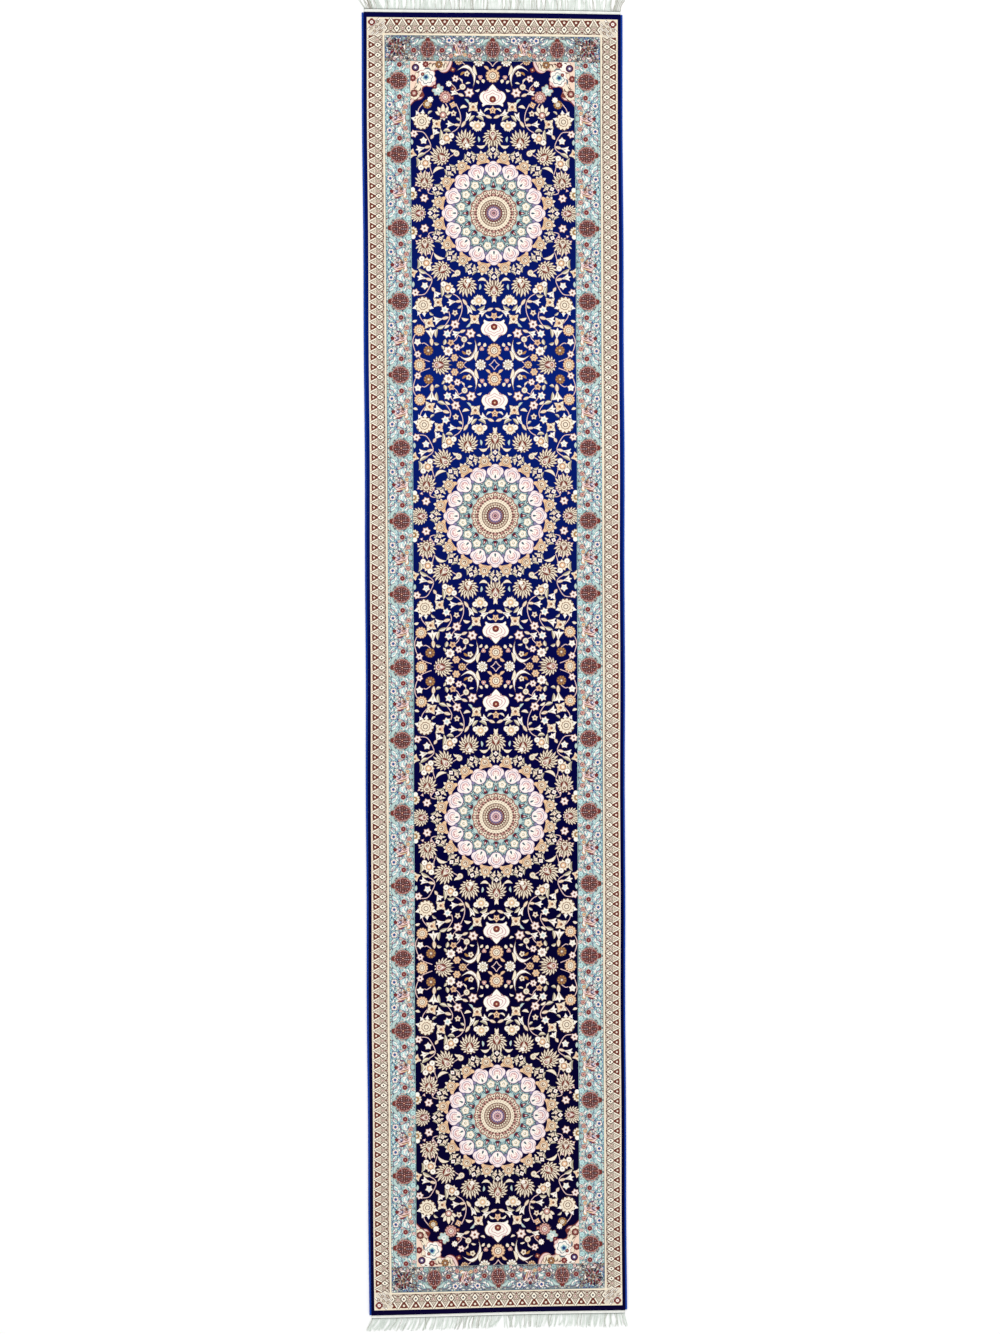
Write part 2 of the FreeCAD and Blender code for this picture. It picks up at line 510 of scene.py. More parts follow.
def big_arabesque():
    """The large C-shaped leaf with a smaller one curled inside it."""
    outer = [(60, 380), (53, 400), (51, 420), (60, 440), (77, 453), (93, 449), (113, 431)]
    inner = [(103, 437), (90, 441), (74, 436), (63, 420), (58, 400)]
    pale = smooth([(60, 386), (55, 402), (53, 420), (62, 438), (78, 451), (92, 447), (108, 435)], 3)
    pale += smooth([(100, 439), (89, 443), (73, 438), (61.5, 421), (57, 400)], 3)
    return [
        ("brown", smooth(outer, 3) + smooth(inner, 3)),
        ("white", pale),
        *over(
            (79, 425), ("brown", lobed, 10.5, 5, 0.3, 0.5), ("cream", lobed, 8.6, 5, 0.3, 0.5),
            ("tan", disc, 3.4, 8),
        ),
        ("gold", leaf((84, 430), (99, 420), 7, 0.1)),
        ("tan", stripe(smooth([(58, 404), (61, 424), (74, 442)], 3), 1.2)),
    ]


def lotus(v):
    """The white vase-shaped lotus on the rug's centre line, its horns towards the medallion."""
    centre, turn = (0, v), pi / 2
    side = [
        (-20, 0), (-19, 12), (-20, 22), (-25, 30), (-19, 32), (-15, 30), (-8, 36), (3, 40), (15, 36),
        (22, 26),
    ]
    side = smooth(side + [(22, 15), (28, 13), (36, 7), (43, 0)], 3)
    collar = smooth([(-15, 0), (-14, 10), (-6, 21), (4, 27), (13, 24), (17, 12), (24, 0)], 3)
    parts = [
        ("brown", placed(bow([(x * 1.05, y * 1.05) for x, y in side]), centre, turn)),
        ("white", placed(bow(side), centre, turn)),
    ]
    for scale, yarn in ((1.12, "rose"), (1.02, "white"), (0.76, "rose"), (0.66, "white")):
        parts.append((yarn, placed(bow([(x * scale, y * scale) for x, y in collar]), centre, turn)))
    parts += over((0, v - 3), ("maroon", disc, 10.5, 14), ("rust", disc, 8.5, 12), ("peach", disc, 3, 8))
    bud_at = (0, v - 36)
    parts += over(
        bud_at, ("brown", star, 14, 5, 0.6, turn), ("peach", star, 12.4, 5, 0.58, turn),
        ("rust", disc, 4.6, 10), ("cream", disc, 2.4, 7),
    )
    for half in (-1, 1):
        parts.append(("cream", leaf((half * 9, v - 32), (half * 26, v - 42), 6, 0.2 * half)))
    return parts + [("rose", leaf((14, v + 31), (30, v + 19), 3.4, -0.2))]


def inner_motifs():
    """What both kinds of quadrant share: all but the corner furthest from the medallion."""
    parts = spiky((230, 0), 27, 0.0, "pink", "tan", 17)
    parts += pink_star((212, 46), 13) + wheel((250, 57), 17, 11, "cream", "olive", "gold")
    parts += [("white", disc((247, 72), 7, 12))]
    parts += spiky((211, 97), 29, pi / 2 + 0.1, "cream", "olive", 13)
    for x, y in ((190, 84), (200, 72), (226, 70), (236, 86), (224, 120), (202, 122)):
        parts += over((x, y), ("blush", star, 6, 3, 0.5, x), ("white", disc, 2.2, 6))
    parts += petalled((207, 152), 18, 0.4, (221, 139), (200, 168))
    parts += leaves([(235, 140, 236, 170, 9, 0.25), (206, 182, 232, 168, 10, 0.14)], "olive")
    parts += leaves([(150, 137, 185, 120, 9, 0.22)], "cream")
    parts += spiky((159, 172), 31, 0.8) + spiky((84, 219), 31, pi / 2 + 0.05, "cream", "gold")
    parts += [("white", lobed((79, 206), 7, 3, 0.3, -1.6))]
    parts += bud((112, 182), 9)
    parts += leaves([(113, 193, 131, 195, 7, -0.28), (22, 209, 50, 207, 8, -0.26)], "cream")
    parts += leaves([(43, 216, 45, 234, 6, 0.1), (247, 208, 248, 226, 7, 0)], "mint")
    parts += spiky((0, 232), 31, -pi / 2, "cream", "pink", 15)
    parts += leaves([(0, 248, 6, 272, 8, 0.1)], "cream")
    parts += petalled((141, 228), 18, 0.1, (155, 216), (127, 236))
    parts += leaves([(129, 248, 152, 250, 9, 0.2), (163, 222, 160, 256, 9, 0.12)], "olive")
    parts += calyx((190, 204), (234, 193), 17) + square_flower((249, 181), 12, -0.5)
    parts += calyx((190, 226), (172, 254), 18) + calyx((99, 268), (142, 272), 16)
    parts += square_flower((172, 272), 14, 0.05) + blossom((212, 221), 11, 5, "white", "mint", "white")
    parts += calyx((96, 262), (68, 304), 18) + calyx((3, 290), (46, 307), 17)
    parts += square_flower((60, 324), 15, pi / 2)
    parts += petalled((47, 266), 17, 0.35, (32, 271), (63, 271))
    parts += over(
        (47, 266), ("cream", star, 19, 8, 0.62, 0.2), ("olive", disc, 9.5, 14), ("peach", disc, 8.2, 12),
        ("white", disc, 3.6, 8),
    )
    parts += leaves([(28, 281, 52, 294, 9, 0.2), (72, 279, 55, 298, 9, -0.1)], "olive")
    parts += blossom((151, 295), 12, 6, "white", "mint", "mint")
    parts += blossom((120, 304), 9, 5, "cream", "tan", "rust")
    parts += leaves([(100, 281, 112, 290, 7, 0.1), (185, 311, 198, 301, 6, 0.15)], "olive")
    parts += pink_star((241, 242), 12) + wheel((217, 280), 26, 12, "cream", "tan", "cream", 0.4)
    for x, y in ((231, 305), (214, 308), (243, 288), (192, 288)):
        parts.append(("white", star((x, y), 8, 3, 0.45, atan2(y - 280, x - 217))))
    parts += leaves([(78, 323, 100, 319, 8, 0.2)], "cream") + leaves([(73, 333, 86, 348, 6, 0.15)], "mint")
    parts += pink_star((72, 367), 15) + lotus(350) + bud((92, 385), 9)
    parts += leaves(
        [(40, 378, 54, 373, 6, -0.2), (68, 397, 83, 394, 5, 0.1), (92, 400, 101, 409, 5, 0.1)], "cream",
    )
    parts += leaves([(42, 394, 51, 404, 7, 0.1), (27, 396, 33, 408, 9, 0.1)], "cream")
    parts += over((38, 414), ("blush", lobed, 7.5, 3, 0.3, 0.5), ("cream", disc, 2.5, 6))
    parts += pink_star((114, 410), 11) + big_arabesque()
    parts += leaves([(48, 420, 57, 452, 9, -0.12)], "cream") + leaves([(12, 436, 27, 448, 7, 0.1)], "peach")
    parts += wheel((0, 419), 22, 12, "peach", "rust", "cream", 0.2)
    parts += wheel((42, 463), 17, 10, "white", "olive", "cream")
    parts += wheel((104, 463), 12, 9, "peach", "tan", "gold")
    parts += calyx((88, 357), (127, 371), 17)
    return parts


def regular_motifs():
    """The corner of a quadrant whose mirror line crosses the field."""
    parts = pink_star((120, 339), 14)
    parts += calyx((139, 317), (186, 329), 19) + square_flower((200, 335), 15, 0.2)
    parts += leaves([(152, 342, 176, 350, 10, 0.1), (173, 352, 178, 380, 9, -0.12)], "olive")
    parts += leaves([(136, 342, 152, 352, 7, -0.1), (236, 326, 251, 330, 7, 0.1)], "cream")
    parts += blossom((144, 368), 12, 6, "white", "mint", "mint")
    parts += wheel((229, 357), 18, 12, "peach", "tan", "cream")
    parts += calyx((191, 404), (195, 352), 22)
    parts += blossom((133, 395), 10, 5, "peach", "rust", "tan", 0.2)
    parts += blossom((141, 421), 14, 7, "white", "blush", "olive", 0, True)
    parts += leaves(
        [(150, 384, 155, 402, 10, 0.1), (162, 404, 154, 417, 7, 0.1), (169, 399, 184, 394, 8, 0.2)],
        "olive",
    )
    parts += wheel((202, 419), 15, 9, "gold", "rust", "tan")
    parts += blossom((235, 393), 11, 5, "white", "cream", "mint")
    parts += pink_star((235, 430), 11) + blossom((122, 441), 11, 6, "peach", "tan", "cream", 0.1, True)
    parts += spiky((166, 463), 30, pi, "pink", "peach", 15)
    parts += wheel((229, 461), 18, 11, "peach", "tan", "cream")
    return parts


def spandrel_motifs():
    """The pale scalloped corner of the field, with the flowers on it."""

    def inset(points, by):
        return [(HALF_U - a + by, HALF_V - b + by) for a, b in points]

    edge = [
        (130, -6), (128, 12), (119, 29), (108, 36), (96, 35), (88, 28), (77, 30), (70, 42), (71, 54),
        (79, 64), (77, 74),
    ]
    edge += [(66, 79), (50, 77), (40, 82), (37, 93), (43, 104), (34, 117), (20, 120), (10, 126), (-6, 146)]
    corner = [(HALF_U + 8, HALF_V + 8)]
    parts = [("rust", smooth(inset(edge, 0), 3) + corner), ("pink", smooth(inset(edge, 2.2), 3) + corner)]
    parts.append(("brown", smooth(inset(edge, 8), 3) + corner))
    parts.append(("shell", smooth(inset(edge, 9.6), 3) + corner))

    def put(a, b, drawing):
        return [(yarn, [(HALF_U - a + x, HALF_V - b + y) for x, y in outline]) for yarn, outline in drawing]

    for a, b, r in ((97, 14, 17), (14, 104, 16), (30, 18, 22), (26, 78, 14), (68, 18, 12), (24, 44, 12)):
        parts += put(
            a, b,
            over(
                (0, 0), ("tan", lobed, r, 6, 0.2, a),
                ("cream" if r < 20 else "white", lobed, r - 1.6, 6, 0.2, a),
            ),
        )
    parts += put(
        50, 50, over((0, 0), ("blush", lobed, 30, 7, 0.2, 0.7), ("white", lobed, 27.5, 7, 0.2, 0.7)),
    )
    parts += put(
        50, 51,
        [
            *over((0, 0), ("slate", lobed, 20, 6, 0.25, 0.8), ("white", lobed, 17.5, 6, 0.25, 0.8)),
            ("sky", lobed((2, 2), 11, 5, 0.25, 0.8)),
        ],
    )
    parts += put(48, 49, over((0, 0), ("blue", lobed, 6.5, 5, 0.25, 0.8), ("ink", disc, 2.5, 8)))
    for a, b, c, d in ((66, 30, 40, 27), (30, 50, 26, 72)):
        tip = (HALF_U - a, HALF_V - b, HALF_U - c, HALF_V - d)
        parts.append(("slate", leaf(tip[:2], tip[2:], 5.5, 0.25)))
    parts += put(
        85, 88,
        [
            *over((0, 0), ("tan", lobed, 20, 7, 0.3, 0.8), ("mint", lobed, 18, 7, 0.3, 0.8)),
            *over((-2, -2), ("white", drop, 20, 13, -2.4), ("mint", drop, 11, 7, -2.4, 10)),
        ],
    )
    parts += put(75, 78, over((0, 0), ("maroon", lobed, 7.5, 4, 0.2, 0.8), ("blush", disc, 2, 6)))
    parts += put(107, 109, wheel((0, 0), 19, 11, "blush", "rust", "pink"))
    parts += put(52, 131, wheel((0, 0), 14, 9, "gold", "brown", "cream"))
    parts += put(88, 10, wheel((0, 0), 12, 8, "gold", "rust", "tan"))
    parts += put(12, 98, wheel((0, 0), 12, 8, "rust", "maroon", "blush"))
    for a, b, c, d in (
        (110, 4, 104, 24), (78, 6, 66, 20), (34, 4, 24, 8), (6, 84, 22, 72), (8, 120, 26, 108),
        (24, 92, 32, 80), (30, 34, 20, 36), (66, 6, 56, 12),
    ):
        parts.append(("brown", leaf((HALF_U - a, HALF_V - b), (HALF_U - c, HALF_V - d), 4, 0.2, 4)))
    for a, b, r in ((47, 10, 10), (8, 52, 11), (38, 40, 6)):
        parts += put(
            a, b,
            over(
                (0, 0), ("maroon", lobed, r, 8, 0.2), ("rust", lobed, r * 0.72, 8, 0.2),
                ("blush", disc, r * 0.3, 8),
            ),
        )
    parts += put(
        16, 20,
        over(
            (0, 0), ("maroon", disc, 12, 18), ("ink", disc, 10, 16), ("violet", disc, 7.4, 14),
            ("white", disc, 3.4, 8),
        ),
    )
    parts += put(118, 69, blossom((0, 0), 9, 8, "white", "cream", "olive", 0, True))
    parts += put(61, 117, blossom((0, 0), 9, 8, "white", "cream", "white", 0, True))
    for a, b, r in ((130, 26, 8), (130, 84, 7), (128, 112, 6)):
        parts += put(a, b, over((0, 0), ("rust", lobed, r, 4, 0.3, a), ("peach", disc, r * 0.35, 8)))
    parts += leaves([(226, 352, 214, 372, 6, 0.2)], "rust") + drop_palmette((152, 299), 13.5)
    return parts + blossom((122, 330), 10, 4, "peach", "rust", "white")


def drop_palmette(c, r):
    """A fan of five pointed petals on a round base, its tips towards the end of the rug."""
    parts = []
    for a in (-1.2, 1.2, -0.6, 0.6, 0):
        start, tip = placed([(0, 0), (r * (2.5 - 0.5 * abs(a)), 0)], c, pi / 2 + a)
        parts += [("brown", leaf(start, tip, r * 1.14, 0, 5)), ("cream", leaf(start, tip, r * 0.86, 0, 5))]
    return parts + over(
        c, ("brown", disc, r * 0.84, 10), ("blush", disc, r * 0.64, 10), ("white", disc, r * 0.3, 7),
    )


def quadrant(at_end):
    parts = vines() + inner_motifs()
    parts += spandrel_motifs() if at_end else regular_motifs()
    return parts + medallion()


# ---- borders: s along the border, d inwards from its outer edge ----


def guard_unit(half):
    """One repeat of the cream guard border: a ringed crown in a zigzag, and a lozenge below its tip."""
    k = half / 18.3
    crown = smooth(
        [
            (-10, 5.6), (0, 4.4), (10, 5.6), (11.8, 8), (8.4, 15), (3, 23), (0, 25), (-3, 23), (-8.4, 15),
            (-11.8, 8),
        ],
        2,
    )
    parts = []
    for side in (-1, 1):
        edge = side * half
        line = [(edge, 3), (side * 4 * k, 26), (0, 27.5)]
        parts += [("brown", stripe(line, 7.8 * k)), ("ivory", stripe(line, 4.2 * k))]
        parts += over(
            (edge, 31), ("brown", lobed, 10.4 * k, 5, 0.3, pi / 2),
            ("cream", lobed, 7.8 * k, 5, 0.3, pi / 2),
        )
        parts += over(
            (edge, 31), ("brown", lobed, 5.6 * k, 5, 0.3, pi / 2), ("pink", lobed, 3.4 * k, 5, 0.3, pi / 2),
        )
        parts += over((edge, 18.5), ("brown", star, 4.2 * k, 4, 0.5), ("cream", star, 2.4 * k, 4, 0.5))
        parts.append(("brown", stripe([(edge, 39.5), (side * 8 * k, 46.5), (0, 47)], 2.4)))
        parts.append(("rust", disc((edge, 43.6), 2.2, 6)))
    for yarn, grow in (("brown", 1.42), ("ivory", 1.0)):
        shape = [(0, -11.5), (8.6, 0), (0, 11.5), (-8.6, 0)]
        parts.append((yarn, [(x * k * grow, 33 + y * grow) for x, y in shape]))
    parts += [("umber", [(x * k, y) for x, y in crown]), ("ivory", disc((0, 12.2), 3.5 * k, 12))]
    parts.append(("blush", disc((0, 12), 1.3 * k, 7)))
    return parts + [("ink", lobed((0, 33), 3.4 * k, 4, 0.3))]


def guard_lines(length):
    """The straight lines that run along the guard border, over a length centred on s = 0."""
    h = length / 2
    bands = [
        ("cream", 0, 5.6), ("brown", 5.6, 6.6), ("beige", 6.6, 46.4), ("brown", 46.4, 47.6),
        ("cream", 47.6, 48), ("cream", 48, 53.6), ("slate", 53.6, 55),
    ]
    return [(yarn, [(-h, a), (h, a), (h, b), (-h, b)]) for yarn, a, b in bands]


def guard_strip(length, period):
    """Guard border motifs over a length centred on s = 0, with a crown in the middle."""
    parts = guard_lines(length)
    reach = round((length / 2 - GUARD) / period - 0.35)
    for i in range(-reach, reach + 1):
        parts += [
            (yarn, [(x + i * period, y) for x, y in outline]) for yarn, outline in guard_unit(period / 2)
        ]
    return parts


def guard_corner():
    """The square where two guard borders meet, from the rug's corner, the same about its diagonal."""
    parts = [
        ("cream", [(0, 0), (GUARD, 0), (GUARD, GUARD), (0, GUARD)]),
        ("beige", [(5.6, 5.6), (GUARD, 5.6), (GUARD, 48), (48, 48), (48, GUARD), (5.6, GUARD)]),
    ]
    parts += [("cream", [(48, 48), (GUARD, 48), (GUARD, 53.6), (53.6, 53.6), (53.6, GUARD), (48, GUARD)])]
    for line, width in (
        ([(3, 39), (39, 3)], 4.6), ([(14, 52), (52, 14)], 3.0), ([(26, 53), (53, 26)], 3.0),
    ):
        parts += [("brown", stripe(line, width + 2.6)), ("white", stripe(line, width))]
    parts += over(
        (15, 15), ("rust", lobed, 12, 4, 0.22), ("maroon", disc, 7.4, 12), ("white", disc, 5.2, 12),
        ("blush", disc, 2.0, 7),
    )
    for x, y in ((33, 13), (13, 33), (29, 29), (42, 24), (24, 42), (44, 40), (40, 44)):
        parts += over(
            (x, y), ("brown", lobed, 5.0, 4, 0.3, x), ("cream", disc, 2.8, 7), ("rust", disc, 1.2, 6),
        )
    return parts


def border_palmette(c, along, deep):
    """The oval brown palmette of the main border, its scales in rings, growing inwards from a knob."""
    x, y = c

    def oval(scale, petals, depth, shift=0.0):
        shape = lobed((0, 0), 1.0, petals, depth, pi / 2)
        return [(x + px * along * scale, y + shift + py * deep * scale) for px, py in shape]

    parts = []
    for side in (-1, 1):
        root, tip = (x + side * 7, y - deep - 5), (x + side * (along + 9), y - deep * 0.55)
        parts.append(("slate", leaf(root, tip, 11, -0.16 * side, 5)))
        parts.append(("mint", leaf(root, tip, 8.4, -0.16 * side, 5)))
    parts += over(
        (x, y - deep - 3), ("brown", lobed, 8, 6, 0.2), ("rust", lobed, 6.2, 6, 0.2),
        ("maroon", disc, 2.4, 7),
    )
    parts += [("brown", oval(1.08, 20, 0.1)), ("blush", oval(1.02, 20, 0.12))]
    parts += [("rust", oval(0.93, 20, 0.12)), ("brown", oval(0.76, 16, 0.1))]
    for ring, count, scale, light in (
        (0.86, 18, 6.0, "tan"), (0.66, 14, 6.4, "blush"), (0.47, 10, 6.2, "tan"), (0.28, 6, 6.0, "blush"),
    ):
        for i in range(count):
            a = pi / 2 + tau * (i + 0.5 * (count % 4 > 1)) / count
            p = (x + ring * along * cos(a), y + ring * deep * sin(a))
            parts.append(("maroon" if i % 2 else "ink", drop(p, scale * 1.2, scale * 0.86, a, 6)))
            parts.append((light if i % 3 else "pink", drop(p, scale * 0.62, scale * 0.42, a, 6)))
    return parts + [("maroon", oval(0.16, 6, 0.2)), ("peach", oval(0.08, 5, 0.2))]


def border_lotus(c, size):
    """The pale diamond-shaped flower between two palmettes."""
    x, y = c
    body = [
        (0, -26), (8, -18), (17, -10), (22, 2), (14, 10), (10, 22), (0, 26), (-10, 22), (-14, 10),
        (-22, 2), (-17, -10), (-8, -18),
    ]
    parts = []

    def at(points, flip=1, grow=1.0):
        return [(x + flip * px * size * grow, y + py * size * grow) for px, py in points]

    parts += [("brown", at(body, 1, 1.06)), ("pink", at(body))]
    for side in (-1, 1):
        for yarn, a, b, wide, bend in (
            ("rust", (9, 14), (21, -17), 6, 0.18), ("brown", (4, 22), (12, -8), 4, 0.1),
            ("peach", (8, 20), (14, -6), 4, 0.1),
            ("ink", (0, 3), (9, -15), 4, 0.12), ("white", (3, 24), (21, 17), 6, 0.15),
            ("brown", (2, 26), (14, 27), 3, 0.1),
            ("violet", (16, 4), (26, -2), 4, 0.2), ("white", (16, -14), (24, -22), 5, 0.2),
        ):
            parts.append((yarn, at(leaf(a, b, wide, bend, 5), side)))
    parts += over((x, y - 20 * size), ("maroon", lobed, 7 * size, 5, 0.25), ("rust", disc, 2.6 * size, 7))
    parts.append(("blue", at([(0, -13), (5, -7), (0, 1), (-5, -7)])))
    parts.append(("white", at([(0, -10), (2.5, -7), (0, -3), (-2.5, -7)])))
    return parts + [
        ("brown", at([(0, 2), (6, 10), (0, 18), (-6, 10)])),
        ("blush", at([(0, 5), (4, 10), (0, 15), (-4, 10)])),
    ]


def filigree(half, spacing, blue_part, dark=False):
    """Small leaves in many yarns all over half a repeat, bluer towards the outer edge between palmettes."""
    draw = random.Random(7)
    rest = [
        "aqua", "sky", "white", "mint", "steel", "pink", "slate", "violet", "ink", "brown", "blush", "tan",
        "cream", "brown",
    ]
    if dark:
        rest = [
            "slate", "brown", "ink", "violet", "tan", "olive", "brown", "ink", "white", "sky", "slate",
            "maroon", "beige",
        ]
    deep = ["steel", "blue", "royal", "aqua", "ink", "violet", "steel", "white", "slate", "blue"]
    parts = []
    for i in range(int(half / spacing)):
        for j in range(int(MAIN / spacing)):
            x, y = (i + draw.uniform(0.2, 0.8)) * spacing, (j + draw.uniform(0.2, 0.8)) * spacing
            turn = draw.uniform(0, pi)
            reach = spacing * draw.uniform(0.55, 0.85)
            yarn = draw.choice(deep if blue_part(x, y) else rest)
            start, tip = (
                x - reach * cos(turn), y - reach * sin(turn),
            ), (x + reach * cos(turn), y + reach * sin(turn))
            parts.append((
                yarn, leaf(start, tip, spacing * draw.uniform(0.5, 0.8), draw.uniform(-0.2, 0.2), 3),
            ))
    return parts


def main_half(half):
    """Half a repeat of the main border, from beside the palmette at s = 0 to the lotus at s = half."""
    k = half / 112
    parts = filigree(half, 4.7, lambda x, y: x > 56 * k and y < 22 + 6 * sin(0.12 * x), k < 0.95)
    for x, y, r in ((38, 16, 9), (72, 42, 11), (94, 64, 8), (30, 68, 8), (50, 30, 7), (33, 22, 7)):
        c = (x * k, y)
        pale, middle = ("aqua", "sky") if k > 0.95 else ("sky", "fog")
        parts += over(
            c, ("slate", lobed, r + 1.4, 5, 0.3, x), (pale, lobed, r, 5, 0.3, x),
            (middle, lobed, r * 0.5, 5, 0.3, x),
        )
    for points in (
        [(30, 30), (44, 34), (58, 30), (64, 40), (56, 48), (50, 44)],
        [(36, 62), (52, 58), (68, 56), (84, 50), (92, 38), (86, 30), (78, 34)],
        [(44, 8), (58, 10), (70, 6), (84, 4)],
        [(60, 66), (74, 68), (88, 70), (104, 66)],
        [(26, 8), (36, 6), (48, 14), (52, 24)],
        [(64, 20), (74, 30), (88, 26), (98, 30)],
    ):
        parts.append(("violet", stripe(smooth([(x * k, y) for x, y in points], 3), 1.7)))
    for x0, y0, x1, y1, wide, bend in (
        (42, 20, 55, 23, 6, 0.2), (34, 10, 42, 22, 5, 0.1), (80, 36, 84, 50, 8, 0.25),
        (60, 52, 72, 50, 5, 0.2), (66, 44, 80, 44, 7, -0.2),
        (64, 72, 76, 66, 5, 0.2), (36, 52, 44, 60, 5, 0.2), (88, 6, 98, 12, 5, 0.2),
        (52, 4, 60, 12, 4, 0.2),
    ):
        a, b = (x0 * k, y0), (x1 * k, y1)
        parts += [("violet", leaf(a, b, wide + 2, bend, 4)), ("white", leaf(a, b, wide, bend, 4))]
    for x, y, r, yarn in (
        (57, 66, 4, "white"), (70, 68, 4, "white"), (80, 61, 7, "blush"), (96, 58, 6, "peach"),
        (92, 26, 4, "white"), (44, 70, 5, "pink"), (62, 34, 4, "pink"),
    ):
        c = (x * k, y)
        parts += over(
            c, ("brown", lobed, r + 1.2, 5, 0.25, y), (yarn, lobed, r, 5, 0.3, y),
            ("maroon", disc, r * 0.3, 6),
        )
    flower = (73 * k, 14)
    parts += over(
        flower, ("brown", lobed, 11, 5, 0.3), ("white", lobed, 9.6, 5, 0.3), ("pink", lobed, 7, 5, 0.3),
        ("blue", lobed, 4.6, 4, 0.2),
    )
    dot = (49 * k, 44)
    parts += over(
        dot, ("blush", lobed, 8.8, 8, 0.15), ("maroon", lobed, 7.4, 8, 0.15), ("rust", disc, 4.4, 10),
        ("blush", disc, 1.8, 6),
    )
    return parts


def mirrored(parts):
    return [(yarn, [(-x, y) for x, y in outline]) for yarn, outline in parts]


def main_strip(length, period, first, along, deep):
    """Main border motifs over a length centred on s = 0; first is the s of the first palmette."""
    h = length / 2
    ground = "sky" if period > 210 else "fog"
    parts = [
        (ground, [(-h, 0), (h, 0), (h, MAIN), (-h, MAIN)]),
        ("slate", [(-h, MAIN - 3.4), (h, MAIN - 3.4), (h, MAIN - 1.4), (-h, MAIN - 1.4)]),
    ]
    half = main_half(period / 2)
    lotus_at = period / 2
    repeat = half + mirrored(half) + border_palmette((0, 41), along, deep)
    between = border_lotus((lotus_at, 37), 0.95 if period > 210 else 0.88)
    count = round(-2 * first / period) + 1
    for i in range(-1, count):
        s = first + i * period
        drawn = between if i < 0 else repeat + between
        parts += [(yarn, [(x + s, y) for x, y in outline]) for yarn, outline in drawn]
    return parts


def main_corner():
    """The square where two main borders meet, from its outer corner: dark leaves round a palmette."""
    parts = [("fog", [(0, 0), (MAIN, 0), (MAIN, MAIN), (0, MAIN)])]
    for yarn, outline in filigree(MAIN, 4.8, lambda x, y: x + y < 70 and abs(x - y) > 26, True):
        parts.append((yarn, outline))
        parts.append((yarn, [(y - 1.7, x + 1.6) for x, y in outline[::-1]]))
    turn = pi / 4
    for r, yarns in (
        (24, ("maroon", "brown", "ink")), (15, ("brown", "blush", "maroon")), (6, ("ink", "peach")),
    ):
        for i in range(2 + r // 2):
            a = turn + tau * i / (2 + r // 2)
            start, tip = placed([(r * 0.62, 0), (r * 1.2, r * 0.2)], (35, 35), a)
            parts.append((yarns[i % len(yarns)], leaf(start, tip, 6.4, 0.15, 4)))
    parts += over(
        (35, 35), ("brown", lobed, 6, 7, 0.25, turn), ("tan", lobed, 3.6, 5, 0.2, turn),
        ("ink", disc, 1.4, 6),
    )
    for side in (-1, 1):
        parts.append((
            "white", leaf((44 - side * 18, 44 + side * 18), (52 - side * 10, 52 + side * 10), 5, 0.2),
        ))
    for x, y in ((58, 8), (8, 58), (66, 50), (50, 66), (70, 28), (28, 70), (13, 13)):
        parts += over(
            (x, y), ("brown", lobed, 6, 5, 0.3, y), ("sky" if x > y else "pink", lobed, 4.6, 5, 0.3, y),
            ("violet", disc, 1.8, 6),
        )
    return parts


# ---- how the rug lies: millimetres in, metres out ----


def settle(x, y, z):
    """A point of the flat rug, where it lies: slow waves off the floor, and edges not quite straight."""
    wave = 0.9 * (1 + sin(0.0043 * y + 1.1) * cos(0.0052 * x + 0.3))
    sway = 1.1 * sin(0.0021 * y + 0.4) + 0.6 * sin(0.0093 * y + 1.9)
    drift = 0.9 * sin(0.0072 * x + 0.8)
    return ((x + sway) * MM, (y + drift) * MM, (z + wave) * MM)


# ---- materials ----


def linear(code):
    """An RGBA colour in linear light, from a six-digit colour code."""
    channels = [int(code[i:i + 2], 16) / 255 for i in (0, 2, 4)]
    return [c / 12.92 if c < 0.04045 else ((c + 0.055) / 1.055) ** 2.4 for c in channels] + [1.0]


def shaded(colour, factor):
    return [min(c * factor, 1.0) for c in colour[:3]] + [1.0]


def gloss_tint(colour):
    """Light glancing off wool keeps the dye's hue: the colour at full brightness, a little paler."""
    top = max(colour[:3])
    return [c / top for c in colour[:3]] + [1.0]


class Nodes:
    """A short way to build one material's nodes."""

    def __init__(self, name):
        self.material = bpy.data.materials.new(name)
        self.material.use_nodes = True
        self.tree = self.material.node_tree
        self.shader = self.tree.nodes["Principled BSDF"]

    def add(self, kind, inputs=(), **settings):
        node = self.tree.nodes.new("ShaderNode" + kind)
        for key, value in settings.items():
            setattr(node, key, value)
        for key, value in dict(inputs).items():
            if isinstance(value, bpy.types.NodeSocket):
                self.tree.links.new(value, node.inputs[key])
            else:
                node.inputs[key].default_value = value
        return node

    def set(self, **values):
        for key, value in values.items():
            socket = self.shader.inputs[key.replace("_", " ")]
            if isinstance(value, bpy.types.NodeSocket):
                self.tree.links.new(value, socket)
            else:
                socket.default_value = value


def scaled_position(nodes, scale):
    """The place on the rug in metres, scaled along each axis."""
    place = nodes.add("TexCoord").outputs["Object"]
    return nodes.add("Mapping", {"Vector": place, "Scale": scale}).outputs["Vector"]


def add_noise(nodes, scale, detail):
    """Noise over the rug, from 0 to 1, with its grain set by the scale along each axis."""
    inputs = {"Vector": scaled_position(nodes, scale), "Scale": 1.0, "Detail": detail}
    return nodes.add("TexNoise", inputs).outputs["Fac"]


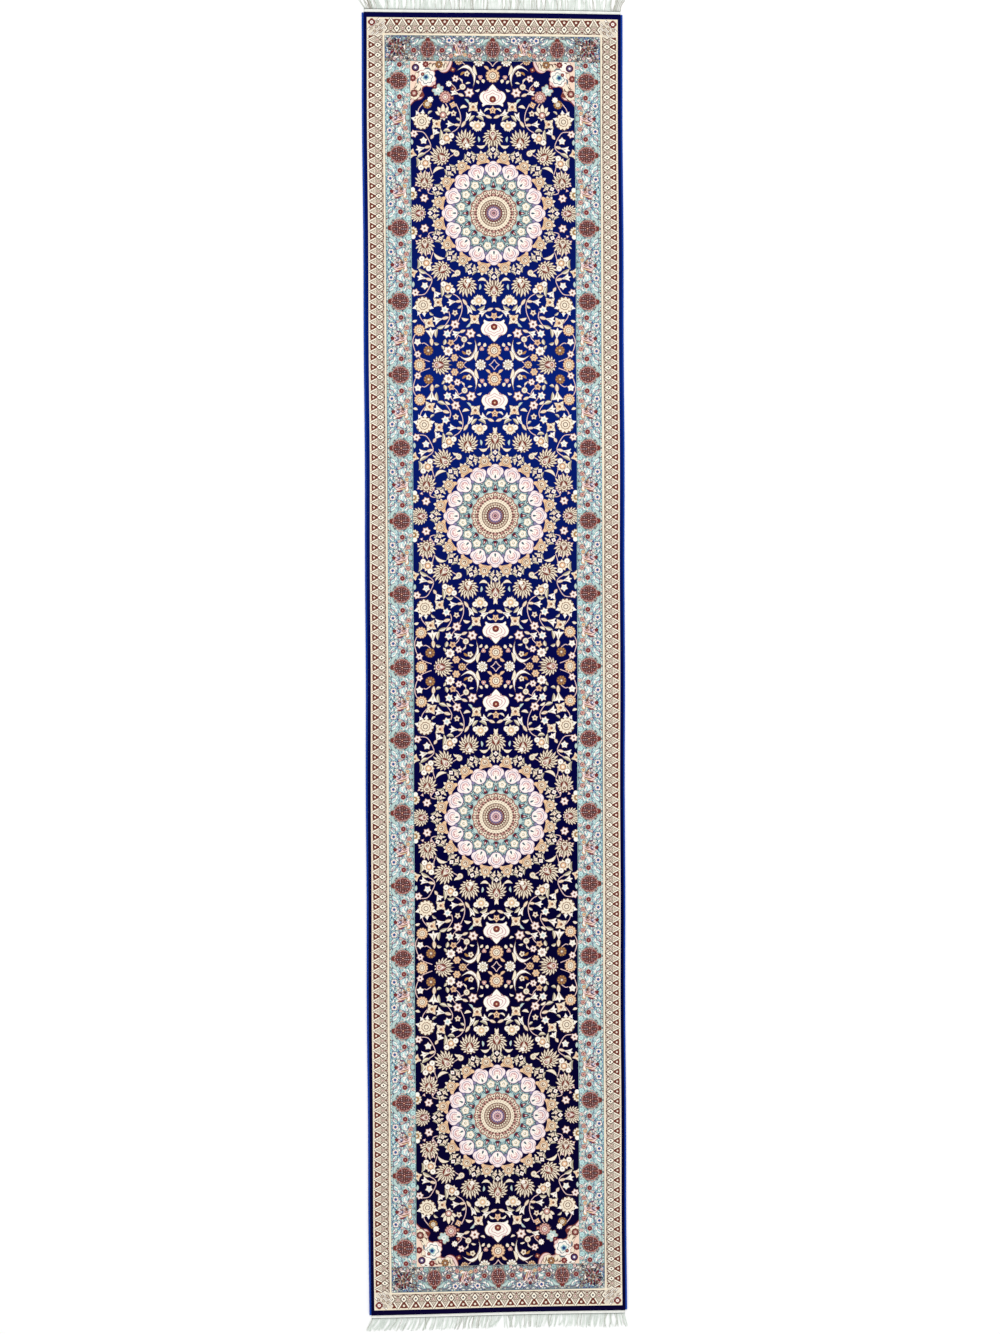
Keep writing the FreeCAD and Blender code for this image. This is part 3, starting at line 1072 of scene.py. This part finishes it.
def navy_with_painted_sheen(nodes, factor):
    """The navy along the rug, with painted sheen: the pile's own near-black navy at the foot, brightening to
    a painted highlight of light on the pile, bluest about a metre from the head.
    """
    along = nodes.add("SeparateXYZ", {"Vector": nodes.add("TexCoord").outputs["Object"]}).outputs["Y"]
    place = nodes.add("MapRange", {"Value": along, "From Min": -2.0, "From Max": 2.0}).outputs["Result"]
    ramp = nodes.add("ValToRGB", {"Fac": place})
    steps = ramp.color_ramp.elements
    # Stops from foot to head: the dark stops are the navy's own colour, the bright blue ones painted
    # highlight.
    stops = [
        (0.0, "06021a"), (0.3, "02011b"), (0.5, "030538"), (0.72, "041d68"), (0.85, "040f4c"),
        (1.0, "03042f"),
    ]
    while len(steps) < len(stops):
        steps.new(0.5)
    for step, (where, code) in zip(steps, stops):
        step.position = where
        step.color = shaded(linear(code), factor)
    return ramp.outputs["Color"]


def yarn_material(name, code, spread=0.16, sheen=0.02):
    """Cut pile of one yarn: every tuft a little lighter or darker, with slow dye bands along the rug."""
    nodes = Nodes(name)
    colour = linear(code)
    tufts = nodes.add("TexVoronoi", {"Vector": scaled_position(nodes, (620, 560, 300)), "Scale": 1.0})
    tone = nodes.add("SeparateColor", {"Color": tufts.outputs["Color"]}).outputs["Red"]
    bands = add_noise(nodes, (1.5, 9, 1), 3.0)
    fibres = add_noise(nodes, (2600, 1900, 900), 2.0)
    mixed = nodes.add("Math", {0: tone, 1: bands}, operation="ADD").outputs[0]
    mixed = nodes.add("Math", {0: mixed, 1: fibres}, operation="ADD").outputs[0]
    share = nodes.add("MapRange", {"Value": mixed, "From Min": 0.5, "From Max": 2.5}).outputs["Result"]
    low, high = shaded(colour, 1 - spread), shaded(colour, 1 + spread)
    # The navy's colour ramps along the rug as painted sheen: a painted highlight of light on the pile,
    # brightest about a metre from the head.
    if name == "pile_navy":
        low, high = navy_with_painted_sheen(nodes, 1 - spread), navy_with_painted_sheen(nodes, 1 + spread)
    shade = nodes.add("Mix", {0: share, 6: low, 7: high}, data_type="RGBA")
    heights = nodes.add("Math", {0: tufts.outputs["Distance"], 1: -0.8}, operation="MULTIPLY").outputs[0]
    heights = nodes.add("Math", {0: heights, 1: fibres}, operation="ADD").outputs[0]
    bump = nodes.add("Bump", {"Height": heights, "Strength": 0.35, "Distance": 0.0008})
    nodes.set(Base_Color=shade.outputs[2], Roughness=0.52, Normal=bump.outputs["Normal"])
    nodes.set(Specular_IOR_Level=0.14, Specular_Tint=gloss_tint(colour))
    nodes.set(Sheen_Weight=sheen, Sheen_Roughness=0.5, Sheen_Tint=gloss_tint(colour))
    return nodes.material


def cotton_material(name, code, scale=(900, 900, 900)):
    """Undyed cotton: fine twisted fibre with faint uneven tone."""
    nodes = Nodes(name)
    colour = linear(code)
    tone = add_noise(nodes, (60, 60, 60), 4.0)
    twist = add_noise(nodes, scale, 3.0)
    both = nodes.add("Math", {0: tone, 1: twist}, operation="ADD").outputs[0]
    share = nodes.add("MapRange", {"Value": both, "From Min": 0.6, "From Max": 1.4}).outputs["Result"]
    shade = nodes.add("Mix", {0: share, 6: shaded(colour, 0.84), 7: shaded(colour, 1.08)}, data_type="RGBA")
    bump = nodes.add("Bump", {"Height": twist, "Strength": 0.4, "Distance": 0.0005})
    nodes.set(Base_Color=shade.outputs[2], Roughness=0.8, Normal=bump.outputs["Normal"])
    nodes.set(Sheen_Weight=0.15, Sheen_Roughness=0.5)
    return nodes.material


def weave_material(name, code):
    """The back of the rug: rows of knots, each a small rounded block, in rows across the rug."""
    nodes = Nodes(name)
    colour = linear(code)
    place = scaled_position(nodes, (1, 1, 1))
    knots = nodes.add("TexBrick", {
        "Vector": place, "Scale": 250.0, "Brick Width": 0.5, "Row Height": 0.4,
        "Mortar Size": 0.12, "Mortar Smooth": 0.8, "Mortar": shaded(colour, 0.55),
        "Color1": shaded(colour, 0.86), "Color2": shaded(colour, 1.1),
    })
    tone = nodes.add("TexNoise", {"Vector": place, "Scale": 14.0, "Detail": 4.0}).outputs["Fac"]
    shade = nodes.add("Mix", {0: tone, 6: knots.outputs["Color"], 7: shaded(colour, 0.9)}, data_type="RGBA")
    bump = nodes.add("Bump", {"Height": knots.outputs["Fac"], "Strength": 0.6, "Distance": -0.0006})
    nodes.set(Base_Color=shade.outputs[2], Roughness=0.85, Normal=bump.outputs["Normal"])
    return nodes.material


PILE = {yarn: yarn_material("pile_" + yarn, code) for yarn, code in YARNS.items()}
WHITE_WEFT = cotton_material("weft_cotton", "f4f5ee", (900, 300, 900))
FRINGE_COTTON = cotton_material("warp_cotton", "e2ebe2")
# Darker cotton for some fringe strands: painted shade for the shadowed gaps between strands.
FRINGE_SHADE = cotton_material("painted_shade_cotton", "9c9684")
STITCH_COTTON = cotton_material("stitch_cotton", "4f5a5c")
SELVEDGE_YARN = yarn_material("selvedge_yarn", "1c409c", 0.22, 0.4)
GROUND_COTTON = weave_material("ground_cotton", "cfc3a4")


# ---- meshes ----


def make_piece(name, points, faces, slot, node, materials, indices=(), smooth_shaded=True):
    """A finished piece on the rug's one body, standing for the CAD node named."""
    mesh = bpy.data.meshes.new(name)
    mesh.from_pydata(points, [], faces)
    for material in materials:
        mesh.materials.append(material)
    if indices:
        mesh.polygons.foreach_set("material_index", indices)
    mesh.polygons.foreach_set("use_smooth", [smooth_shaded] * len(mesh.polygons))
    mesh.update()
    piece = bpy.data.objects.new(name, mesh)
    bpy.context.scene.collection.objects.link(piece)
    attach(piece, "root")
    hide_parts(node)
    return piece


def reaches(outline, box):
    xs, ys = [p[0] for p in outline], [p[1] for p in outline]
    return max(xs) > box[0] and min(xs) < box[2] and max(ys) > box[1] and min(ys) < box[3]


def anticlockwise(outline):
    area = sum(ax * by - bx * ay for (ax, ay), (bx, by) in zip(outline, outline[1:] + outline[:1]))
    return outline if area > 0 else outline[::-1]


def planar_map(parts, ground, region):
    """The region's triangles, each with the yarn of the topmost outline over it."""
    xs, ys = [p[0] for p in region], [p[1] for p in region]
    box = (min(xs), min(ys), max(xs), max(ys))
    drawn = [(ground, region)] + [(yarn, outline) for yarn, outline in parts if reaches(outline, box)]
    points, loops = [], []
    for _, outline in drawn:
        loops.append(list(range(len(points), len(points) + len(outline))))
        points += anticlockwise(outline)
    columns = int((box[2] - box[0]) / GRID) + 1
    rows = int((box[3] - box[1]) / GRID) + 1
    for i in range(columns + 1):
        for j in range(rows + 1):
            x = box[0] + (box[2] - box[0]) * i / columns
            points.append((x, box[1] + (box[3] - box[1]) * j / rows))
    corners, _, triangles, _, _, sources = delaunay_2d_cdt(
        [Vector(p) for p in points], [], loops, 1, MERGE, True,
    )
    kept = [(tri, drawn[max(source)][0]) for tri, source in zip(triangles, sources) if 0 in source]
    return [(c[0], c[1]) for c in corners], kept


class Pile:
    """A piece of cut pile, gathered from planar maps and closed with side walls and a base."""

    def __init__(self):
        self.places, self.index, self.triangles = [], {}, []

    def add(self, made, centre=(0.0, 0.0), sign=(1, 1)):
        corners, triangles = made
        welded = []
        for u, v in corners:
            x, y = centre[0] + sign[0] * u, centre[1] + sign[1] * v
            key = (round(x * WELD_CELLS), round(y * WELD_CELLS))
            if key not in self.index:
                self.index[key] = len(self.places)
                self.places.append((x, y))
            welded.append(self.index[key])
        turned = sign[0] * sign[1] < 0
        for (a, b, c), yarn in triangles:
            tri = (welded[a], welded[c], welded[b]) if turned else (welded[a], welded[b], welded[c])
            if len(set(tri)) == 3:
                self.triangles.append((tri, yarn))

    def finish(self, name, slot, node):
        yarns = sorted({yarn for _, yarn in self.triangles})
        edge_yarn = {}
        for (a, b, c), yarn in self.triangles:
            edge_yarn.update({(a, b): yarn, (b, c): yarn, (c, a): yarn})
        rim = [(a, b) for a, b in edge_yarn if (b, a) not in edge_yarn]
        count = len(self.places)
        lower = {}
        for a, b in rim:
            for corner in (a, b):
                lower.setdefault(corner, count + len(lower))
        points = [settle(x, y, PILE_TOP) for x, y in self.places]
        points += [settle(*self.places[corner], GROUND_TOP) for corner in lower]
        faces = [tri for tri, _ in self.triangles] + [(a, lower[a], lower[b], b) for a, b in rim]
        indices = [yarns.index(yarn) for _, yarn in self.triangles]
        indices += [yarns.index(edge_yarn[edge]) for edge in rim]
        materials = [PILE[yarn] for yarn in yarns]
        piece = make_piece(name, points, faces, slot, node, materials, indices, False)
        close_base(piece.data)


def close_base(mesh):
    """Fills the open rim along the underside."""
    shell = bmesh.new()
    shell.from_mesh(mesh)
    rim = [edge for edge in shell.edges if edge.is_boundary]
    bmesh.ops.holes_fill(shell, edges=rim, sides=0)
    shell.to_mesh(mesh)
    shell.free()


def field_pile():
    """Four medallion units, each of four mirrored quadrants; the end units close with spandrels."""
    region = [(0, 0), (HALF_U, 0), (HALF_U, HALF_V), (0, HALF_V)]
    plain = planar_map(quadrant(False), "navy", region)
    closing = planar_map(quadrant(True), "navy", region)
    for unit in range(UNITS):
        pile = Pile()
        centre = (0.0, (unit - (UNITS - 1) / 2) * 2 * HALF_V)
        for sx in (-1, 1):
            for sy in (-1, 1):
                is_end = (unit, sy) in ((0, -1), (UNITS - 1, 1))
                pile.add(closing if is_end else plain, centre, (sx, sy))
        pile.finish(f"field_pile_{unit + 1}", "field_yarn", "field_pile")


def lay_along(parts, outer, side):
    """Border drawings (s, d) put on the rug's left, right, head or foot edge."""
    width, length = outer
    put = {
        "left": lambda s, d: (-width + d, s), "right": lambda s, d: (width - d, s),
        "head": lambda s, d: (s, length - d), "foot": lambda s, d: (s, -length + d),
    }[side]
    return [(yarn, [put(s, d) for s, d in outline]) for yarn, outline in parts]


def in_corners(parts, outer):
    """A corner drawing put in all four corners."""
    return [
        (yarn, [(sx * (outer[0] - x), sy * (outer[1] - y)) for x, y in outline])
        for sx in (-1, 1) for sy in (-1, 1) for yarn, outline in parts
    ]


def border(node, slot, outer, inner, ground, drawings, lengths=UNITS):
    """One border, mitred at the corners: each side in so many lengths, and each end whole."""
    (xo, yo), (xi, yi) = outer, inner
    side_parts, end_parts, corner_parts = drawings
    corners = in_corners(corner_parts, outer)

    def finish(name, parts, region):
        pile = Pile()
        pile.add(planar_map(parts, ground, region))
        pile.finish(name, slot, node)

    for side, sign in (("left", -1), ("right", 1)):
        parts = lay_along(side_parts, outer, side) + corners
        breaks = [(unit - UNITS / 2) * 2 * HALF_V for unit in range(1, lengths)]
        outer_breaks, inner_breaks = [-yo, *breaks, yo], [-yi, *breaks, yi]
        for unit in range(lengths):
            low_o, high_o = outer_breaks[unit:unit + 2]
            low_i, high_i = inner_breaks[unit:unit + 2]
            number = f"_{unit + 1}" if lengths > 1 else ""
            region = [(sign * xo, low_o), (sign * xo, high_o), (sign * xi, high_i), (sign * xi, low_i)]
            finish(f"{node}_{side}{number}", parts, region)
    for side, sign in (("foot", -1), ("head", 1)):
        parts = lay_along(end_parts, outer, side) + corners
        region = [(-xo, sign * yo), (xo, sign * yo), (xi, sign * yi), (-xi, sign * yi)]
        finish(f"{node}_{side}", parts, region)


def borders():
    """The guard border, the main border, and the plain navy pile round the outside."""
    guard_sides = guard_strip(2 * GUARD_HALF[1], GUARD_SIDE_REPEAT)
    guard_ends = guard_strip(2 * GUARD_HALF[0], GUARD_END_REPEAT)
    drawings = guard_sides, guard_ends, guard_corner()
    border("guard_border_pile", "guard_border_yarn", GUARD_HALF, MAIN_HALF, "beige", drawings)
    main_sides = main_strip(2 * MAIN_HALF[1], SIDE_REPEAT, -8 * SIDE_REPEAT, 26, 27)
    main_ends = main_strip(2 * MAIN_HALF[0], END_REPEAT, -END_REPEAT, 22, 25)
    drawings = main_sides, main_ends, main_corner()
    border("main_border_pile", "main_border_yarn", MAIN_HALF, FIELD_HALF, "sky", drawings)
    border("edge_band_pile", "edge_band_yarn", EDGE_HALF, GUARD_HALF, "navy", ([], [], []), 1)


def shell(x_range, y_range, columns, rows, heights):
    """A closed thin sheet as points and faces; heights(j) is its top and underside at row line j."""
    points, faces = [], []
    for k in (0, 1):
        for i in range(columns + 1):
            for j in range(rows + 1):
                x = x_range[0] + (x_range[1] - x_range[0]) * i / columns
                y = y_range[0] + (y_range[1] - y_range[0]) * j / rows
                points.append(settle(x, y, heights(j)[k]))
    layer = (columns + 1) * (rows + 1)

    def at(i, j, k):
        return k * layer + i * (rows + 1) + j

    for i in range(columns):
        for j in range(rows):
            faces.append((at(i, j, 0), at(i + 1, j, 0), at(i + 1, j + 1, 0), at(i, j + 1, 0)))
            faces.append((at(i, j + 1, 1), at(i + 1, j + 1, 1), at(i + 1, j, 1), at(i, j, 1)))
        faces.append((at(i, 0, 1), at(i + 1, 0, 1), at(i + 1, 0, 0), at(i, 0, 0)))
        faces.append((at(i, rows, 0), at(i + 1, rows, 0), at(i + 1, rows, 1), at(i, rows, 1)))
    for j in range(rows):
        faces.append((at(0, j + 1, 1), at(0, j, 1), at(0, j, 0), at(0, j + 1, 0)))
        faces.append((at(columns, j, 1), at(columns, j + 1, 1), at(columns, j + 1, 0), at(columns, j, 0)))
    return points, faces


def ground_cloth():
    """The woven ground under the pile."""
    width, length = EDGE_HALF
    columns, rows = round(2 * width / CLOTH_STEP), round(2 * length / CLOTH_STEP)
    made = shell((-width, width), (-length, length), columns, rows, lambda j: (GROUND_TOP, 0))
    return make_piece("ground_cloth", *made, "ground_cotton", "ground_weave", [GROUND_COTTON], (), False)


def skin(faces, start, rings, sides):
    """Adds the faces round a stack of rings of points, closed at both ends."""
    for i in range(rings - 1):
        for k in range(sides):
            a, b = start + i * sides + k, start + i * sides + (k + 1) % sides
            faces.append((a, b, b + sides, a + sides))
    faces.append(tuple(range(start + sides - 1, start - 1, -1)))
    faces.append(tuple(range(start + (rings - 1) * sides, start + rings * sides)))


def tube(line, radius, sides, points, faces, taper=1.0):
    """Adds a closed round strand along a line of (x, y, z) points, in metres."""
    start = len(points)
    count = len(line)
    for i, place in enumerate(line):
        before, after = line[max(i - 1, 0)], line[min(i + 1, count - 1)]
        along = (Vector(after) - Vector(before)).normalized()
        across = along.cross(Vector((0, 0, 1)))
        across = across.normalized() if across.length > 1e-6 else Vector((1, 0, 0))
        up = across.cross(along)
        r = radius * (1 + (taper - 1) * i / (count - 1))
        for k in range(sides):
            a = tau * k / sides
            points.append(tuple(Vector(place) + across * (r * cos(a)) + up * (r * sin(a))))
    skin(faces, start, count, sides)


def bulge(value):
    """A sine or cosine pushed out towards 1, for a section fuller than a circle."""
    return abs(value) ** 0.8 * (1 if value > 0 else -1)


def overcast(side, sign):
    """Yarn wound round the cord: a rounded sleeve with a ridge for every turn."""
    turn_pitch, groove, slope, sides = 3.2, 0.86, 1.1, 10
    node = f"{side}_selvedge_overcast"
    low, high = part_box(node)
    centre_x = (low[0] + high[0]) / 2 / MM
    half_x, half_z = (high[0] - low[0]) / 2 / MM, (high[2] - low[2]) / 2 / MM
    length = (high[1] - low[1]) / MM
    steps = round(length / turn_pitch * 2)
    points, faces = [], []
    for i in range(steps + 1):
        y = -length / 2 + length * i / steps
        full = groove if i % 2 else 1.0
        for k in range(sides):
            a = tau * k / sides
            x = centre_x + half_x * full * bulge(cos(a))
            z = half_z + half_z * full * bulge(sin(a))
            slant = slope * sin(a) * sign
            points.append(settle(x, min(max(y + slant, -length / 2), length / 2), z))
    skin(faces, 0, steps + 1, sides)
    make_piece(f"{side}_overcast", points, faces, "selvedge_yarn", node, [SELVEDGE_YARN])


def cord(side):
    """The cotton cord inside the overcasting."""
    node = f"{side}_selvedge_core"
    low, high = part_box(node)
    steps = 100
    length = (high[1] - low[1]) / MM
    line, points, faces = [], [], []
    for i in range(steps + 1):
        y = -length / 2 + length * i / steps
        line.append(settle((low[0] + high[0]) / 2 / MM, y, (low[2] + high[2]) / 2 / MM))
    tube(line, (high[0] - low[0]) / 2, 8, points, faces)
    make_piece(f"{side}_cord", points, faces, "warp_cotton", node, [WHITE_WEFT])


def selvedges():
    for side, sign in (("left", -1), ("right", 1)):
        overcast(side, sign)
        cord(side)


def ends():
    """The flat-woven web, the twined stitch and the fringe at each end."""
    made = []
    for name, sign in (("head", 1), ("foot", -1)):
        made += [kilim_web(name), lock_stitch(name), fringe(name, sign)]
    return made


def kilim_web(name):
    """Weft-faced band: fine ribs across the rug."""
    ribs, per_rib, columns = 6, 4, 120
    node = f"{name}_kilim_web"
    low, high = (Vector(c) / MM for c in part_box(node))

    def heights(j):
        rib = abs(sin(pi * j / per_rib)) ** 0.7
        half = (high.z - low.z) / 2 * (0.72 + 0.28 * rib)
        return (high.z + low.z) / 2 + half, (high.z + low.z) / 2 - half

    made = shell((low.x, high.x), (low.y, high.y), columns, ribs * per_rib, heights)
    return make_piece(f"{name}_web", *made, "warp_cotton", node, [WHITE_WEFT])


def lock_stitch(name):
    """Two strands twined round each other along the web's outer edge."""
    pitch, per_turn, radius, throw = 5.0, 8, 0.45, 0.38
    node = f"{name}_lock_stitch"
    low, high = (Vector(c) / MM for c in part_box(node))
    centre_y, centre_z = (low.y + high.y) / 2, (low.z + high.z) / 2
    steps = round((high.x - low.x) / pitch * per_turn)
    points, faces = [], []
    for strand in (0, 1):
        line = []
        for i in range(steps + 1):
            a = tau * i / per_turn + pi * strand
            x = low.x + (high.x - low.x) * i / steps
            line.append(settle(x, centre_y + throw * cos(a), centre_z + throw * sin(a)))
        tube(line, radius * MM, 5, points, faces)
    return make_piece(f"{name}_stitch", points, faces, "stitch_yarn", node, [STITCH_COTTON])


def fringe(name, sign):
    """Loose warp ends in small tufts; lean_at says which way they lie."""
    strand_pitch, strand_radius, segments = 1.35, 0.52, 6
    corner_painted_shade, head_painted_shade, foot_painted_shade = 0.55, 0.13, 0.08  # shares of the strands in darker cotton: painted shade for the shadowed gaps between strands
    node = f"{name}_fringe"
    low, high = (Vector(c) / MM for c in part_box(node))
    root_y = low.y if sign > 0 else high.y
    length = high.y - low.y
    draw = random.Random(11 if sign > 0 else 23)
    points, faces, marks = [], [], []
    x = low.x + 1
    while x < high.x - 1:
        width = draw.uniform(3.5, 9)
        strands = max(2, round(width / strand_pitch))
        middle = x + width / 2
        lean = lean_at(name, middle / high.x) + draw.gauss(0, 3.0)
        gather, curl = draw.uniform(0.35, 1.1), draw.gauss(0, 2.5)
        reach_of_tuft = length * draw.uniform(0.86, 1.0)
        for i in range(strands):
            root = x + width * (i + 0.5) / strands
            away = (root - middle) * (gather - 1)
            stray = draw.gauss(0, 1.3)
            reach = min(length, reach_of_tuft * draw.uniform(0.9, 1.06)) - abs(lean) * 0.14
            lie = draw.uniform(0.6, 2.1)
            line = []
            for j in range(segments + 1):
                s = j / segments
                px = root + (
                    lean + away + stray
                ) * s ** 1.3 + curl * sin(pi * s) + 0.6 * stray * sin(tau * s)
                line.append(settle(px, root_y + sign * reach * s, 1.0 + (lie - 1.0) * min(1.0, s * 2.5)))
            tube(line, strand_radius * MM, 5, points, faces, 0.7)
            # Painted shade: a share of the strands, most at the head's corners, take the darker cotton in
            # place of shadowed gaps between strands.
            painted_shade_share = head_painted_shade if sign > 0 else foot_painted_shade
            if sign > 0 and abs(middle) > 0.93 * high.x:
                painted_shade_share = corner_painted_shade
            marks += [int(draw.random() < painted_shade_share)] * (len(faces) - len(marks))
        x += width + draw.uniform(0.0, 1.2)
    cottons = [FRINGE_COTTON, FRINGE_SHADE]
    return make_piece(f"{name}_strands", points, faces, "warp_cotton", node, cottons, marks)


def lean_at(name, share):
    """How far sideways a strand's tip lies from its root, in mm, at a share of the half width.

    The head's corners fan outwards, and the foot's strands part a little right of the middle.
    """
    if name == "head":
        return -20.0 * max(0.0, -share - 0.75) * 4 + 14.0 * max(0.0, share - 0.8) * 5
    fan = -7.0 - 20.0 * max(0.0, -share) ** 2 + 5.0 * max(0.0, share - 0.1)
    parting = 0.03 - share
    if abs(parting) < 0.14:
        fan -= 15.0 * (1 if parting > 0 else -1) * (1 - abs(parting) / 0.14)
    return fan + 90.0 * max(0.0, share - 0.86)


# ---- the set: floor, lights and camera ----


def aimed(item, target):
    item.rotation_euler = (Vector(target) - item.location).to_track_quat("-Z", "Y").to_euler()


def area_light(name, place, target, size, power, colour=(1, 1, 1)):
    light = bpy.data.lights.new(name, "AREA")
    light.shape = "DISK"
    light.size, light.energy, light.color = size, power, colour
    lamp = bpy.data.objects.new(name, light)
    lamp.location = place
    bpy.context.scene.collection.objects.link(lamp)
    aimed(lamp, target)


def studio():
    mesh = bpy.data.meshes.new("floor")
    half, below = 12.0, -0.0004
    corners = [(-half, -half, below), (half, -half, below), (half, half, below), (-half, half, below)]
    mesh.from_pydata(corners, [], [(0, 1, 2, 3)])
    floor = bpy.data.objects.new("floor", mesh)
    bpy.context.scene.collection.objects.link(floor)
    nodes = Nodes("floor_white")
    nodes.set(Base_Color=(0.93, 0.93, 0.93, 1), Roughness=0.9, Specular_IOR_Level=0.0)
    mesh.materials.append(nodes.material)
    floor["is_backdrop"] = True

    world = bpy.data.worlds.new("studio")
    world.use_nodes = True
    background = world.node_tree.nodes["Background"].inputs
    background["Color"].default_value = (1, 1, 1, 1)
    background["Strength"].default_value = 0.78
    bpy.context.scene.world = world
    bpy.context.scene.view_settings.view_transform = "Standard"

    area_light("window", (0.1, 1.9, 5.0), (0, 1.0, 0), 1.0, 95)
    area_light("fill", (0.6, -3.4, 5.0), (0, -0.8, 0), 3.0, 60)

    camera = bpy.data.cameras.new("camera")
    camera.sensor_fit = "VERTICAL"
    camera.sensor_height = 36
    camera.lens = 43.8
    camera.clip_end = 100
    eye = bpy.data.objects.new("camera", camera)
    eye.location = (-0.19, 0.073, 5.0)
    eye.rotation_euler = (radians(-0.84), radians(-2.34), radians(-0.25))
    bpy.context.scene.collection.objects.link(eye)
    bpy.context.scene.camera = eye


# ---- build ----

studio()
ground = ground_cloth()
field_pile()
borders()
selvedges()
trims = ends()


def plain(box):
    return [[float(c) for c in corner] for corner in box]


{"cad": plain(CAD_BOX), "visual": plain(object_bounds())}
